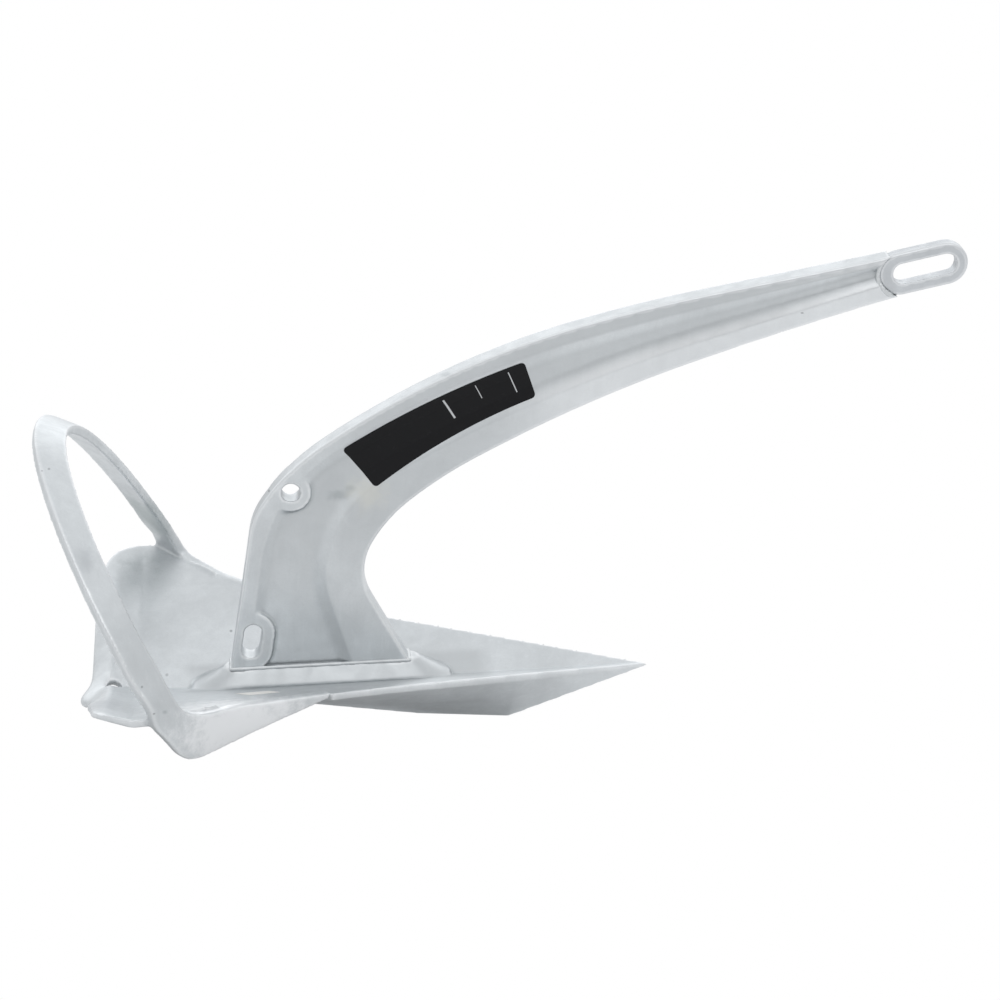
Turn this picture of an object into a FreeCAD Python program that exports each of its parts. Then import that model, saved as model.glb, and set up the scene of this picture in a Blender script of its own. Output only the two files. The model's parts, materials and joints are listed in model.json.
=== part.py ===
"""Scoop anchor with a roll bar, hot-dip galvanised.

The anchor is drawn upright in its own frame: +X towards the toe, +Z up, the
plane of symmetry at Y = 0, the rear plane of the heel at X = 0 and the flat of
the keel at Z = 0. At the end every piece gets the same placement, which lays
the anchor as it comes to rest on a floor: on its keel, its heel and one skid.
"""
import FreeCAD
import Part
import Sketcher
import math
import os

V = FreeCAD.Vector

SIZES = [
    ("toe_x", 533.0, "toe tip, ahead of the rear plane of the heel"),
    ("toe_z", 61.0, "height of the toe tip over the keel flat"),
    ("nose_thick_x", 420.0, "where the blade has reached its full thickness"),
    ("wing_x", 110.0, "station at the roll bar, where the valley bends up"),
    ("wing_valley_z", 18.4, "height of the valley line at that station"),
    ("dip_x", 55.0, "station where the valley line is lowest"),
    ("dip_valley_z", 15.7, "height of the valley line there"),
    ("crease_x", 31.0, "station where the heel lip starts to bend down"),
    ("crease_valley_z", 20.4, "height of the valley line there"),
    ("lip_x", 13.0, "station on the heel lip"),
    ("lip_valley_z", 10.5, "height of the valley line there"),
    ("lip_end_valley_z", 2.6, "height of the valley line at the rear plane"),
    ("nose_rise", 0.375, "rise of the blade per unit of width, at the toe"),
    ("wing_rise", 0.335, "the same at the roll bar"),
    ("dip_rise", 0.32, "the same at the dip of the valley"),
    ("crease_rise", 0.311, "the same at the start of the heel lip"),
    ("blade_thick", 7.4, "thickness of the blade, measured upright"),
    ("shoulder_x", 294.0, "end of the straight side behind the toe"),
    ("shoulder_half", 77.5, "half width there"),
    ("heel_corner_x", 60.0, "widest station of the blade, behind the bar"),
    ("heel_hole_x", 35.0, "centre of the heel hole"),
    ("heel_hole_radius", 7.0, "radius of the heel hole"),
    ("keel_front_x", 405.0, "front corner of the keel flat"),
    ("keel_rear_x", 320.0, "rear end of the keel flat"),
    ("keel_fade_x", 222.0, "station on the rising rear part of the keel"),
    ("keel_fade_z", 6.4, "height of the keel there"),
    ("keel_end_x", 145.0, "rear end of the keel"),
    ("foot_x", 140.7, "rear lower corner of the shank"),
    ("foot_seat", 4.1, "height of that corner over the valley line"),
    ("shank_reach", 571.1, "from that corner forward to the shank's upper end"),
    ("rim_half", 11.0, "half thickness of the shank's rim"),
    ("web_half", 6.5, "half thickness of the shank's web"),
    ("rim_round", 2.2, "rounding of the rim's outer edges"),
    ("crown_hole_radius", 8.7, "radius of the round hole in the shank"),
    ("crown_boss_radius", 18.5, "radius of the boss around it"),
    ("foot_slot_radius", 8.3, "half width of the slot low in the shank"),
    ("foot_slot_half_run", 8.6, "half distance between its end centres"),
    ("foot_slot_lean", 0.7, "forward lean of its upper end centre"),
    ("foot_boss_radius", 20.0, "end radius of the boss around the slot"),
    ("eye_run", 41.0, "from the eye's rear centre to its front centre, along X"),
    ("eye_climb", 12.1, "the same, upwards"),
    ("eye_radius", 19.6, "outer radius of the eye's round ends"),
    ("eye_half", 7.5, "half thickness of the eye"),
    ("eye_slot_radius", 9.5, "half width of the eye's slot"),
    ("eye_slot_start", 3.0, "from the rear centre to the slot's rear centre"),
    ("eye_bevel", 1.6, "bevel of the eye's edges"),
    ("hoop_base_x", 66.5, "foot of the roll bar's rear inner corner"),
    ("hoop_base_z", 83.0, "height of that foot"),
    ("hoop_base_half", 197.5, "half width of the rear inner corner there"),
    ("hoop_height", 211.8, "height of that corner in its leaning plane"),
    ("hoop_lean", 32.0, "how far the hoop leans back, in degrees"),
    ("hoop_front_step", 31.7, "from that corner forward to the front outer corner"),
    ("hoop_front_height", 212.5, "height of that corner in its plane"),
    ("bar_thick", 9.5, "thickness of the roll bar and its skids"),
    ("skid_length", 162.5, "from the foot of the bar to the skid's front tip"),
    ("skid_drop", 50.7, "from the foot of the bar down to the skid's bottom"),
    ("foot_weld_height", 22.0, "height of the fillet round the foot"),
    ("foot_weld_half", 28.0, "half width of that fillet"),
    ("bar_weld_radius", 4.6, "radius of the beads at the roll bar"),
    ("eye_weld_width", 2.6, "width of the weld round the shackle eye, on the web"),
    ("eye_weld_height", 1.3, "height of that weld over the eye's face"),
    ("label_thick", 0.35, "thickness of the label"),
    ("sticker_thick", 0.3, "thickness of the paper sticker"),
]

# Sizes that follow from the others, as formulas of the sheet
DERIVED = [
    ("skid_nose_x", "hoop_base_x + skid_length + 3", "where the side meets the front of the skid"),
    ("skid_nose_half", "hoop_base_half - 94.5", "half width there"),
    ("heel_corner_half", "hoop_base_half + 0.8", "half width of the blade behind the bar"),
    ("hoop_front_half", "hoop_base_half - 16.5", "half width of the front outer corner"),
    ("valley_slope", "(toe_z - wing_valley_z) / (toe_x - wing_x)", "climb of the valley line"),
    ("foot_z", "wing_valley_z + (foot_x - wing_x) * valley_slope + foot_seat",
     "height of the rear lower corner of the shank"),
    ("shank_scale", "shank_reach / 571.1", "scale of the shank's outlines below"),
    ("crown_hole_x", "foot_x + 47.3 * shank_scale", "centre of the round hole"),
    ("crown_hole_z", "foot_z + 195.9 * shank_scale", "height of that centre"),
    ("foot_slot_x", "foot_x + 19.5 * shank_scale", "centre of the slot"),
    ("foot_slot_z", "foot_z + 46.9 * shank_scale", "height of that centre"),
    ("eye_x", "foot_x + 582.5 * shank_scale", "rear centre of the shackle eye"),
    ("eye_z", "foot_z + 429.4 * shank_scale", "height of that centre"),
]

# Half widths at which each section of the blade has a corner
FOLD_HALVES = [0.0, 16.0, 36.0, 100.0, 215.0]

# The heel lip over its own valley line, at those half widths: rounded in the
# middle, steeper beside it and flatter again towards the sides
LIP_LIFTS = [0.0, -0.5, 2.7, 35.4, 78.2]
LIP_END_LIFTS = [0.0, -3.1, -2.1, 39.3, 86.4]

# Outlines of the shank: forward and up from the rear lower corner of the
# foot, then the radius of the curve to the next point (0 for a straight
# line) and its turn: 1 to the left, -1 to the right.
SHANK_EDGE = [
    (0.0, 0.0, 0.0, 0),
    (12.1, 154.2, 66.7, -1),
    (20.9, 182.3, 212.5, -1),
    (72.2, 242.0, 787.5, -1),
    (299.1, 368.4, 1387.0, -1),
    (405.4, 401.6, 0.0, 0),
    (571.1, 446.1, 0.0, 0),
    (582.3, 409.1, 3570.0, 1),
    (408.2, 340.5, 1282.0, 1),
    (212.3, 236.6, 410.2, 1),
    (155.9, 192.7, 143.0, 1),
    (124.7, 150.4, 58.0, 1),
    (128.0, 93.9, 0.0, 0),
    (176.6, 17.8, 0.0, 0),
]
RECESS_MOUTH = [
    (15.6, 11.0, 0.0, 0),
    (22.4, 124.5, 155.7, -1),
    (78.6, 235.2, 718.2, -1),
    (297.1, 358.9, 2002.0, -1),
    (405.4, 393.8, 0.0, 0),
    (574.0, 442.8, 0.0, 0),
    (574.0, 420.6, 0.0, 0),
    (407.4, 355.8, 1417.0, 1),
    (232.4, 272.3, 1195.5, 1),
    (136.0, 211.7, 118.1, 1),
    (86.6, 131.0, 82.4, 1),
    (91.6, 89.4, 0.0, 0),
    (119.4, 19.0, 0.0, 0),
]
RECESS_FLOOR = [
    (24.0, 14.0, 0.0, 0),
    (32.1, 121.6, 141.4, -1),
    (89.3, 225.0, 891.8, -1),
    (303.6, 341.1, 4037.0, -1),
    (409.6, 379.3, 0.0, 0),
    (568.2, 433.9, 0.0, 0),
    (568.2, 428.9, 0.0, 0),
    (401.3, 370.6, 1147.0, 1),
    (222.1, 288.8, 1155.0, 1),
    (121.3, 224.8, 119.5, 1),
    (71.1, 131.0, 116.7, 1),
    (78.6, 86.1, 0.0, 0),
    (102.9, 21.9, 0.0, 0),
]

# Skid stations behind one another: lower point and upper point, each as
# forward, down and inward from the foot of the bar. The upper point is the
# outer corner. The lower point lies on the bar's edge face, and the last
# number says how far in: 1 is its inner corner and 0 its outer corner.
SKID_STATIONS = [
    ((3.8, 11.0, 3.0), (36.5, 4.0, 18.5), 1.0),
    ((10.5, 20.5, 6.0), (40.5, 5.8, 20.3), 1.0),
    ((19.0, 31.0, 9.5), (46.5, 7.8, 23.8), 0.9),
    ((28.0, 42.0, 14.0), (54.5, 9.6, 29.2), 0.6),
    ((41.0, 50.0, 20.3), (65.5, 11.4, 39.3), 0.2),
    ((55.5, 50.7, 30.9), (78.5, 12.2, 49.5), 0.0),
    ((75.5, 47.0, 47.1), (95.5, 13.2, 59.3), 0.0),
    ((101.5, 39.5, 62.3), (115.5, 14.2, 69.3), 0.0),
    ((131.5, 30.5, 77.5), (137.5, 15.2, 80.5), 0.0),
    ((162.5, 20.5, 92.0), (163.5, 16.4, 92.5), 0.0),
]

# Length and drop of the skid in the stations above
SKID_RUN = SKID_STATIONS[-1][0][0]
SKID_FALL = max(lower[1] for lower, upper, depth in SKID_STATIONS)

# Fullness of the hoop's two corner lines: 1 would be an ellipse
REAR_FULLNESS = 1.23
FRONT_FULLNESS = 1.1

LABEL_CORNERS = [(91.0, 239.8), (123.4, 204.8), (262.9, 298.6), (249.5, 331.0)]
LABEL_TOP = (170.0, 291.0)
LABEL_BOTTOM = (190.0, 257.0)
LABEL_CORNER_ROUND = 4.0
STICKER_CORNERS = [(146.0, -58.0), (176.0, -54.0), (186.0, -68.0), (158.0, -76.0)]

doc = FreeCAD.newDocument("ScoopAnchor")
sheet = doc.addObject("Spreadsheet::Sheet", "Params")
sheet.Label = "Params"
sheet.set("A1", "name")
sheet.set("B1", "value")
sheet.set("C1", "meaning")
for row, (alias, value, meaning) in enumerate(SIZES, start=2):
    sheet.set("A%d" % row, alias)
    sheet.set("B%d" % row, "%g" % value)
    sheet.setAlias("B%d" % row, alias)
    sheet.set("C%d" % row, meaning)
for row, (alias, formula, meaning) in enumerate(DERIVED, start=len(SIZES) + 2):
    sheet.set("A%d" % row, alias)
    sheet.set("B%d" % row, "=" + formula)
    sheet.setAlias("B%d" % row, alias)
    sheet.set("C%d" % row, meaning)
doc.recompute()


def size(name):
    """Value of one driving dimension."""
    return float(sheet.get(name))


def new_body(name):
    """Empty body of one sub-part."""
    body = doc.addObject("PartDesign::Body", name)
    body.Label = name
    return body


def sketch_on(body, name, role, lift=None):
    """Sketch on an origin plane of its body; lift is an expression along the normal."""
    sketch = body.newObject("Sketcher::SketchObject", name)
    plane = [item for item in body.Origin.OriginFeatures if item.Role == role][0]
    sketch.AttachmentSupport = [(plane, "")]
    sketch.MapMode = "FlatFace"
    if lift is not None:
        sketch.setExpression("AttachmentOffset.Base.z", lift)
    return sketch


def pin(sketch, geo, pos, point):
    """Fix a sketch point; point holds two values and two expressions."""
    across, up, across_expr, up_expr = point
    if across_expr == "0":
        sketch.addConstraint(Sketcher.Constraint("PointOnObject", geo, pos, -2))
    else:
        index = sketch.addConstraint(Sketcher.Constraint("DistanceX", -1, 1, geo, pos, across))
        sketch.setExpression("Constraints[%d]" % index, across_expr)
    index = sketch.addConstraint(Sketcher.Constraint("DistanceY", -1, 1, geo, pos, up))
    sketch.setExpression("Constraints[%d]" % index, up_expr)


def arc_between(start, end, radius, turn):
    """Minor arc between two points, with the positions of its start and end."""
    run = V(end[0] - start[0], end[1] - start[1], 0)
    left = V(-run.y, run.x, 0).normalize()
    sagitta_leg = math.sqrt(radius * radius - (run.Length / 2.0) ** 2)
    centre = V(start[0], start[1], 0) + run * 0.5 + left * (sagitta_leg * turn)
    first = math.atan2(start[1] - centre.y, start[0] - centre.x)
    last = math.atan2(end[1] - centre.y, end[0] - centre.x)
    if turn < 0:
        first, last = last, first
    if last < first:
        last += 2.0 * math.pi
    circle = Part.Circle(centre, V(0, 0, 1), radius)
    arc = Part.ArcOfCircle(circle, first, last)
    if turn < 0:
        return arc, 2, 1
    return arc, 1, 2


def closed_chain(sketch, points, curves):
    """Closed outline through pinned points; curves holds (radius, turn, expression)."""
    ends = []
    count = len(points)
    for index, point in enumerate(points):
        follower = points[(index + 1) % count]
        radius, turn, radius_expr = curves[index]
        if radius > 0.0:
            shape, start_pos, end_pos = arc_between(point, follower, radius, turn)
        else:
            shape = Part.LineSegment(V(point[0], point[1], 0), V(follower[0], follower[1], 0))
            start_pos, end_pos = 1, 2
        geo = sketch.addGeometry(shape, False)
        ends.append((geo, start_pos, end_pos))
    for index, (geo, start_pos, end_pos) in enumerate(ends):
        follower = ends[(index + 1) % count]
        sketch.addConstraint(Sketcher.Constraint("Coincident", geo, end_pos, follower[0], follower[1]))
    for index, (geo, start_pos, end_pos) in enumerate(ends):
        pin(sketch, geo, start_pos, points[index])
        radius, turn, radius_expr = curves[index]
        if radius > 0.0:
            number = sketch.addConstraint(Sketcher.Constraint("Radius", geo, radius))
            sketch.setExpression("Constraints[%d]" % number, radius_expr)


def shank_chain(sketch, table):
    """Outline given as offsets from the foot of the shank, scaled with its size."""
    points = []
    curves = []
    for forward, up, radius, turn in table:
        across = size("foot_x") + forward * size("shank_scale")
        height = size("foot_z") + up * size("shank_scale")
        across_expr = "Params.foot_x + %g * Params.shank_scale" % forward
        height_expr = "Params.foot_z + %g * Params.shank_scale" % up
        points.append((across, height, across_expr, height_expr))
        radius_expr = "%g * Params.shank_scale" % radius
        curves.append((radius * size("shank_scale"), turn, radius_expr))
    closed_chain(sketch, points, curves)


def polygon(sketch, points):
    """Closed outline of straight lines through pinned points."""
    closed_chain(sketch, points, [(0.0, 0, "0")] * len(points))


def circle_at(sketch, across, up, radius):
    """Circle whose centre and radius follow named sizes."""
    centre = V(size(across), size(up) if up else 0.0, 0)
    geo = sketch.addGeometry(Part.Circle(centre, V(0, 0, 1), size(radius)), False)
    index = sketch.addConstraint(Sketcher.Constraint("DistanceX", -1, 1, geo, 3, centre.x))
    sketch.setExpression("Constraints[%d]" % index, "Params." + across)
    if up:
        index = sketch.addConstraint(Sketcher.Constraint("DistanceY", -1, 1, geo, 3, centre.y))
        sketch.setExpression("Constraints[%d]" % index, "Params." + up)
    else:
        sketch.addConstraint(Sketcher.Constraint("PointOnObject", geo, 3, -1))
    index = sketch.addConstraint(Sketcher.Constraint("Radius", geo, size(radius)))
    sketch.setExpression("Constraints[%d]" % index, "Params." + radius)


def stadium(sketch, low, high, radius, radius_expr):
    """Slot outline with round ends about two pinned centres."""
    run = V(high[0] - low[0], high[1] - low[1], 0)
    angle = math.atan2(run.y, run.x)
    side = V(-run.y, run.x, 0).normalize() * radius
    low_point = V(low[0], low[1], 0)
    high_point = V(high[0], high[1], 0)
    normal = V(0, 0, 1)
    half_turn = math.pi / 2.0
    low_circle = Part.Circle(low_point, normal, radius)
    high_circle = Part.Circle(high_point, normal, radius)
    low_arc = Part.ArcOfCircle(low_circle, angle + half_turn, angle + 3.0 * half_turn)
    high_arc = Part.ArcOfCircle(high_circle, angle - half_turn, angle + half_turn)
    first = sketch.addGeometry(low_arc, False)
    second = sketch.addGeometry(Part.LineSegment(low_point - side, high_point - side), False)
    third = sketch.addGeometry(high_arc, False)
    fourth = sketch.addGeometry(Part.LineSegment(high_point + side, low_point + side), False)
    sketch.addConstraint(Sketcher.Constraint("Tangent", first, 2, second, 1))
    sketch.addConstraint(Sketcher.Constraint("Tangent", second, 2, third, 1))
    sketch.addConstraint(Sketcher.Constraint("Tangent", third, 2, fourth, 1))
    sketch.addConstraint(Sketcher.Constraint("Tangent", fourth, 2, first, 1))
    pin(sketch, first, 3, low)
    pin(sketch, third, 3, high)
    index = sketch.addConstraint(Sketcher.Constraint("Radius", first, radius))
    sketch.setExpression("Constraints[%d]" % index, radius_expr)


def named(across, up):
    """Point whose two coordinates are single named sizes or expressions of them."""
    return (evaluate(across), evaluate(up), spelled(across), spelled(up))


def evaluate(terms):
    """Value of a list of (factor, name) terms."""
    total = 0.0
    for factor, name in terms:
        total += factor * (size(name) if name else 1.0)
    return total


def spelled(terms):
    """Expression of a list of (factor, name) terms; an empty list is zero."""
    words = []
    for factor, name in terms:
        words.append("%g * Params.%s" % (factor, name) if name else "%g" % factor)
    return " + ".join(words) if words else "0"


# The fluke: a blade folded along its valley, a heel lip and a ballast keel


def blade_section(body, name, station, top_line, under_drop):
    """Section of the blade, wider than it; the outline is cut later.

    The top line holds half widths with the height there and its expression.
    """
    sketch = sketch_on(body, name, "YZ_Plane", station)
    drop_value, drop_expr = under_drop
    right = [(half, height, "%g" % half, expr) for half, height, expr in top_line[1:]]
    left = [(-half, height, "%g" % -half, expr) for half, height, expr in top_line[1:]]
    middle = [(0.0, top_line[0][1], "0", top_line[0][2])]
    top = list(reversed(left)) + middle + right
    under = []
    for across, height, across_expr, expr in reversed(top):
        under.append((across, height - drop_value, across_expr, "%s - %s" % (expr, drop_expr)))
    polygon(sketch, top + under)
    return sketch


def straight_line(valley, rise):
    """Top line of a plain fold: valley and rise are (value, expression)."""
    line = []
    for half in FOLD_HALVES:
        height = valley[0] + half * rise[0]
        line.append((half, height, "%s + %g * (%s)" % (valley[1], half, rise[1])))
    return line


def lip_line(valley_name, lifts):
    """Top line on the heel lip: its valley and the lifts over it further out."""
    line = []
    for half, lift in zip(FOLD_HALVES, lifts):
        line.append((half, size(valley_name) + lift, "Params.%s + %g" % (valley_name, lift)))
    return line


def single(name):
    """Value and expression of one named size."""
    return size(name), "Params." + name


def valley_terms(station_name):
    """Height of the straight valley line between toe and roll bar, at a named station."""
    run = "(Params.%s - Params.wing_x) / (Params.toe_x - Params.wing_x)" % station_name
    expr = "Params.wing_valley_z + (Params.toe_z - Params.wing_valley_z) * %s" % run
    ratio = (size(station_name) - size("wing_x")) / (size("toe_x") - size("wing_x"))
    value = size("wing_valley_z") + (size("toe_z") - size("wing_valley_z")) * ratio
    return value, expr


def rise_at(station_name):
    """Rise of the blade at a named station ahead of the roll bar."""
    ratio = (size(station_name) - size("wing_x")) / (size("toe_x") - size("wing_x"))
    return size("wing_rise") + (size("nose_rise") - size("wing_rise")) * ratio


def keel_section(body, name, station, half, half_expr, bottom, edge, top):
    """Kite-shaped section of the ballast keel, its upper corners inside the blade."""
    sketch = sketch_on(body, name, "YZ_Plane", station)
    polygon(sketch, [
        (0.0, bottom[0], "0", bottom[1]),
        (half, edge[0], half_expr, edge[1]),
        (0.0, top[0], "0", top[1]),
        (-half, edge[0], "-(%s)" % half_expr, edge[1]),
    ])
    return sketch


def straight_half(station_name):
    """Half width of the straight side of the blade at a named station."""
    run_expr = "(Params.toe_x - Params.%s) / (Params.toe_x - Params.shoulder_x)" % station_name
    ratio = (size("toe_x") - size(station_name)) / (size("toe_x") - size("shoulder_x"))
    return size("shoulder_half") * ratio + 0.3, "Params.shoulder_half * %s + 0.3" % run_expr


def build_fluke():
    """Folded blade, keel, outline and heel hole."""
    body = new_body("fluke")
    thick = size("blade_thick")
    full = (thick, "Params.blade_thick")
    thin = (0.03 * thick, "0.03 * Params.blade_thick")
    toe_valley = (size("toe_z") + 0.3, "Params.toe_z + 0.3")
    nose_rise_expr = ("Params.wing_rise + (Params.nose_rise - Params.wing_rise)"
                      " * (Params.nose_thick_x - Params.wing_x)"
                      " / (Params.toe_x - Params.wing_x)")
    nose_rise = (rise_at("nose_thick_x"), nose_rise_expr)
    sections = [
        blade_section(body, "blade_at_toe", "Params.toe_x + 3",
                      straight_line(toe_valley, single("nose_rise")), thin),
        blade_section(body, "blade_at_nose", "Params.nose_thick_x",
                      straight_line(valley_terms("nose_thick_x"), nose_rise), full),
        blade_section(body, "blade_at_wing", "Params.wing_x",
                      straight_line(single("wing_valley_z"), single("wing_rise")), full),
        blade_section(body, "blade_at_dip", "Params.dip_x",
                      straight_line(single("dip_valley_z"), single("dip_rise")), full),
        blade_section(body, "blade_at_crease", "Params.crease_x",
                      straight_line(single("crease_valley_z"), single("crease_rise")), full),
        blade_section(body, "blade_at_lip", "Params.lip_x",
                      lip_line("lip_valley_z", LIP_LIFTS), full),
        blade_section(body, "blade_at_end", "0 * Params.lip_x",
                      lip_line("lip_end_valley_z", LIP_END_LIFTS), full),
    ]
    doc.recompute()
    blade = body.newObject("PartDesign::AdditiveLoft", "blade")
    blade.Profile = sections[0]
    blade.Sections = sections[1:]
    blade.Ruled = True
    doc.recompute()

    inside = 3.5
    overlap = 1.0
    keel_sections = []
    tip_half = 2.4
    keel_sections.append(keel_section(
        body, "keel_at_toe", "Params.toe_x + 3", tip_half, "%g" % tip_half,
        (size("toe_z") - 1.2, "Params.toe_z - 1.2"),
        (size("toe_z") + 1.1, "Params.toe_z + 1.1"),
        (size("toe_z") + 0.2, "Params.toe_z + 0.2")))
    for name, station, height in (("keel_at_front", "keel_front_x", 0.0),
                                  ("keel_at_rear", "keel_rear_x", 0.0)):
        half, half_expr = straight_half(station)
        valley_value, valley_expr = valley_terms(station)
        rise = rise_at(station)
        edge_value = valley_value + rise * half - thick + overlap
        edge_expr = "%s + %g * (%s) - Params.blade_thick + %g" % (
            valley_expr, rise, half_expr, overlap)
        keel_sections.append(keel_section(
            body, name, "Params." + station, half, half_expr,
            (height, "%g" % height),
            (edge_value, edge_expr),
            (valley_value - inside, "%s - %g" % (valley_expr, inside))))
    fade_half = 96.0
    valley_value, valley_expr = valley_terms("keel_fade_x")
    rise = rise_at("keel_fade_x")
    keel_sections.append(keel_section(
        body, "keel_at_fade", "Params.keel_fade_x", fade_half, "%g" % fade_half,
        (size("keel_fade_z"), "Params.keel_fade_z"),
        (valley_value + rise * fade_half - thick + overlap,
         "%s + %g - Params.blade_thick" % (valley_expr, rise * fade_half + overlap)),
        (valley_value - inside, "%s - %g" % (valley_expr, inside))))
    end_half = 96.0
    valley_value, valley_expr = valley_terms("keel_end_x")
    rise = rise_at("keel_end_x")
    keel_sections.append(keel_section(
        body, "keel_at_end", "Params.keel_end_x", end_half, "%g" % end_half,
        (valley_value - thick + overlap, "%s - Params.blade_thick + %g" % (valley_expr, overlap)),
        (valley_value + rise * end_half - thick + overlap,
         "%s + %g - Params.blade_thick" % (valley_expr, rise * end_half + overlap)),
        (valley_value - inside, "%s - %g" % (valley_expr, inside))))
    doc.recompute()
    keel = body.newObject("PartDesign::AdditiveLoft", "keel")
    keel.Profile = keel_sections[0]
    keel.Sections = keel_sections[1:]
    keel.Ruled = True
    doc.recompute()

    outline = sketch_on(body, "plan_outline", "XY_Plane")
    fluke_outline(outline)
    doc.recompute()
    trim = body.newObject("PartDesign::Pocket", "trim_to_outline")
    trim.Profile = outline
    trim.SideType = "Symmetric"
    trim.Type = "Length"
    trim.Length = 600.0
    doc.recompute()

    hole = sketch_on(body, "heel_hole_sketch", "XY_Plane")
    circle_at(hole, "heel_hole_x", None, "heel_hole_radius")
    doc.recompute()
    drill = body.newObject("PartDesign::Pocket", "heel_hole")
    drill.Profile = hole
    drill.SideType = "Symmetric"
    drill.Type = "Length"
    drill.Length = 300.0
    doc.recompute()
    return body


def fluke_outline(sketch):
    """Everything outside the blade: a wide frame around its plan outline."""
    frame = 700.0
    polygon(sketch, [
        (-frame, -frame, "%g" % -frame, "%g" % -frame),
        (frame, -frame, "%g" % frame, "%g" % -frame),
        (frame, frame, "%g" % frame, "%g" % frame),
        (-frame, frame, "%g" % -frame, "%g" % frame),
    ])
    corner = [(1.0, "heel_corner_x")]
    half_side = [
        ([(1.0, "toe_x")], [], 0.0, 0),
        ([(1.0, "shoulder_x")], [(1.0, "shoulder_half")], 430.0, -1),
        ([(1.0, "skid_nose_x")], [(1.0, "skid_nose_half")], 0.0, 0),
    ]
    for station, half in bar_contact():
        half_side.append(([(round(station, 2), None)], [(round(half, 2), None)], 0.0, 0))
    half_side.extend([
        (corner, [(1.0, "heel_corner_half")], 43.0, 1),
        ([(27.0, None)], [(1.0, "heel_corner_half"), (-16.8, None)], 46.0, 1),
        ([(17.4, None)], [(1.0, "heel_corner_half"), (-48.3, None)], 0.0, 0),
        ([(12.6, None)], [(95.0, None)], 0.0, 0),
        ([(13.3, None)], [(33.0, None)], 36.0, -1),
        ([(8.1, None)], [(13.0, None)], 23.6, 1),
    ])
    points = []
    curves = []
    for across, up, radius, turn in half_side:
        if up:
            points.append((evaluate(across), evaluate(up), spelled(across), spelled(up)))
        else:
            points.append((evaluate(across), 0.0, spelled(across), "0 * Params.toe_x"))
        curves.append((radius, turn, "%g" % radius))
    for index in range(len(half_side) - 1, 0, -1):
        across, up, radius, turn = half_side[index]
        mirrored = [(-factor, name) for factor, name in up]
        points.append((evaluate(across), evaluate(mirrored), spelled(across), spelled(mirrored)))
        before = half_side[index - 1]
        curves.append((before[2], before[3], "%g" % before[2]))
    closed_chain(sketch, points, curves)


def blade_top(station, half):
    """Height of the blade's upper face ahead of the dip of its valley."""
    wing_top = size("wing_valley_z") + half * size("wing_rise")
    if station < size("wing_x"):
        other_x = size("dip_x")
        other_top = size("dip_valley_z") + half * size("dip_rise")
    else:
        other_x = size("nose_thick_x")
        other_top = valley_terms("nose_thick_x")[0] + half * rise_at("nose_thick_x")
    return wing_top + (other_top - wing_top) * (station - size("wing_x")) / (other_x - size("wing_x"))


def blade_contact(inner_rear, inner_front):
    """Point of the bar's inner face at the height of the blade's upper face."""
    def lift(share):
        point = inner_rear + (inner_front - inner_rear) * share
        return point.z - blade_top(point.x, abs(point.y))

    low, high = 0.0, 1.0
    if lift(low) * lift(high) > 0.0:
        nearest = low if abs(lift(low)) < abs(lift(high)) else high
        return inner_rear + (inner_front - inner_rear) * nearest
    for _ in range(30):
        middle = (low + high) / 2.0
        if lift(low) * lift(middle) > 0.0:
            low = middle
        else:
            high = middle
    return inner_rear + (inner_front - inner_rear) * low


def bar_contact():
    """Where the bar's inner face meets the edge of the blade, from front to rear."""
    found = []
    for outer_rear, outer_front, inner_front, inner_rear in bar_corners()[0]:
        if inner_rear.y < 0.0 and inner_rear.z < size("hoop_base_z") - 5.0:
            found.append(blade_contact(inner_rear, inner_front))
            last_rear = inner_rear
        elif inner_rear.y < 0.0 and inner_rear.z < size("hoop_base_z") + 1.0:
            found.extend([last_rear, inner_rear])
    found.sort(key=lambda point: point.x, reverse=True)
    return [(point.x - 0.2, -point.y - 0.4) for point in found]


# The shank: a rim on both faces, a hollowed web, two bosses, a hole and a slot


def rim_edges(feature):
    """Names of the outline edges on both faces of the first pad, without the foot."""
    names = []
    foot_top = size("foot_z") + 20.0
    for index, edge in enumerate(feature.Shape.Edges):
        box = edge.BoundBox
        on_face = box.YLength < 0.01 and abs(abs(box.YMin) - size("rim_half")) < 0.01
        if on_face and box.ZMax > foot_top:
            names.append("Edge%d" % (index + 1))
    return names


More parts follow.
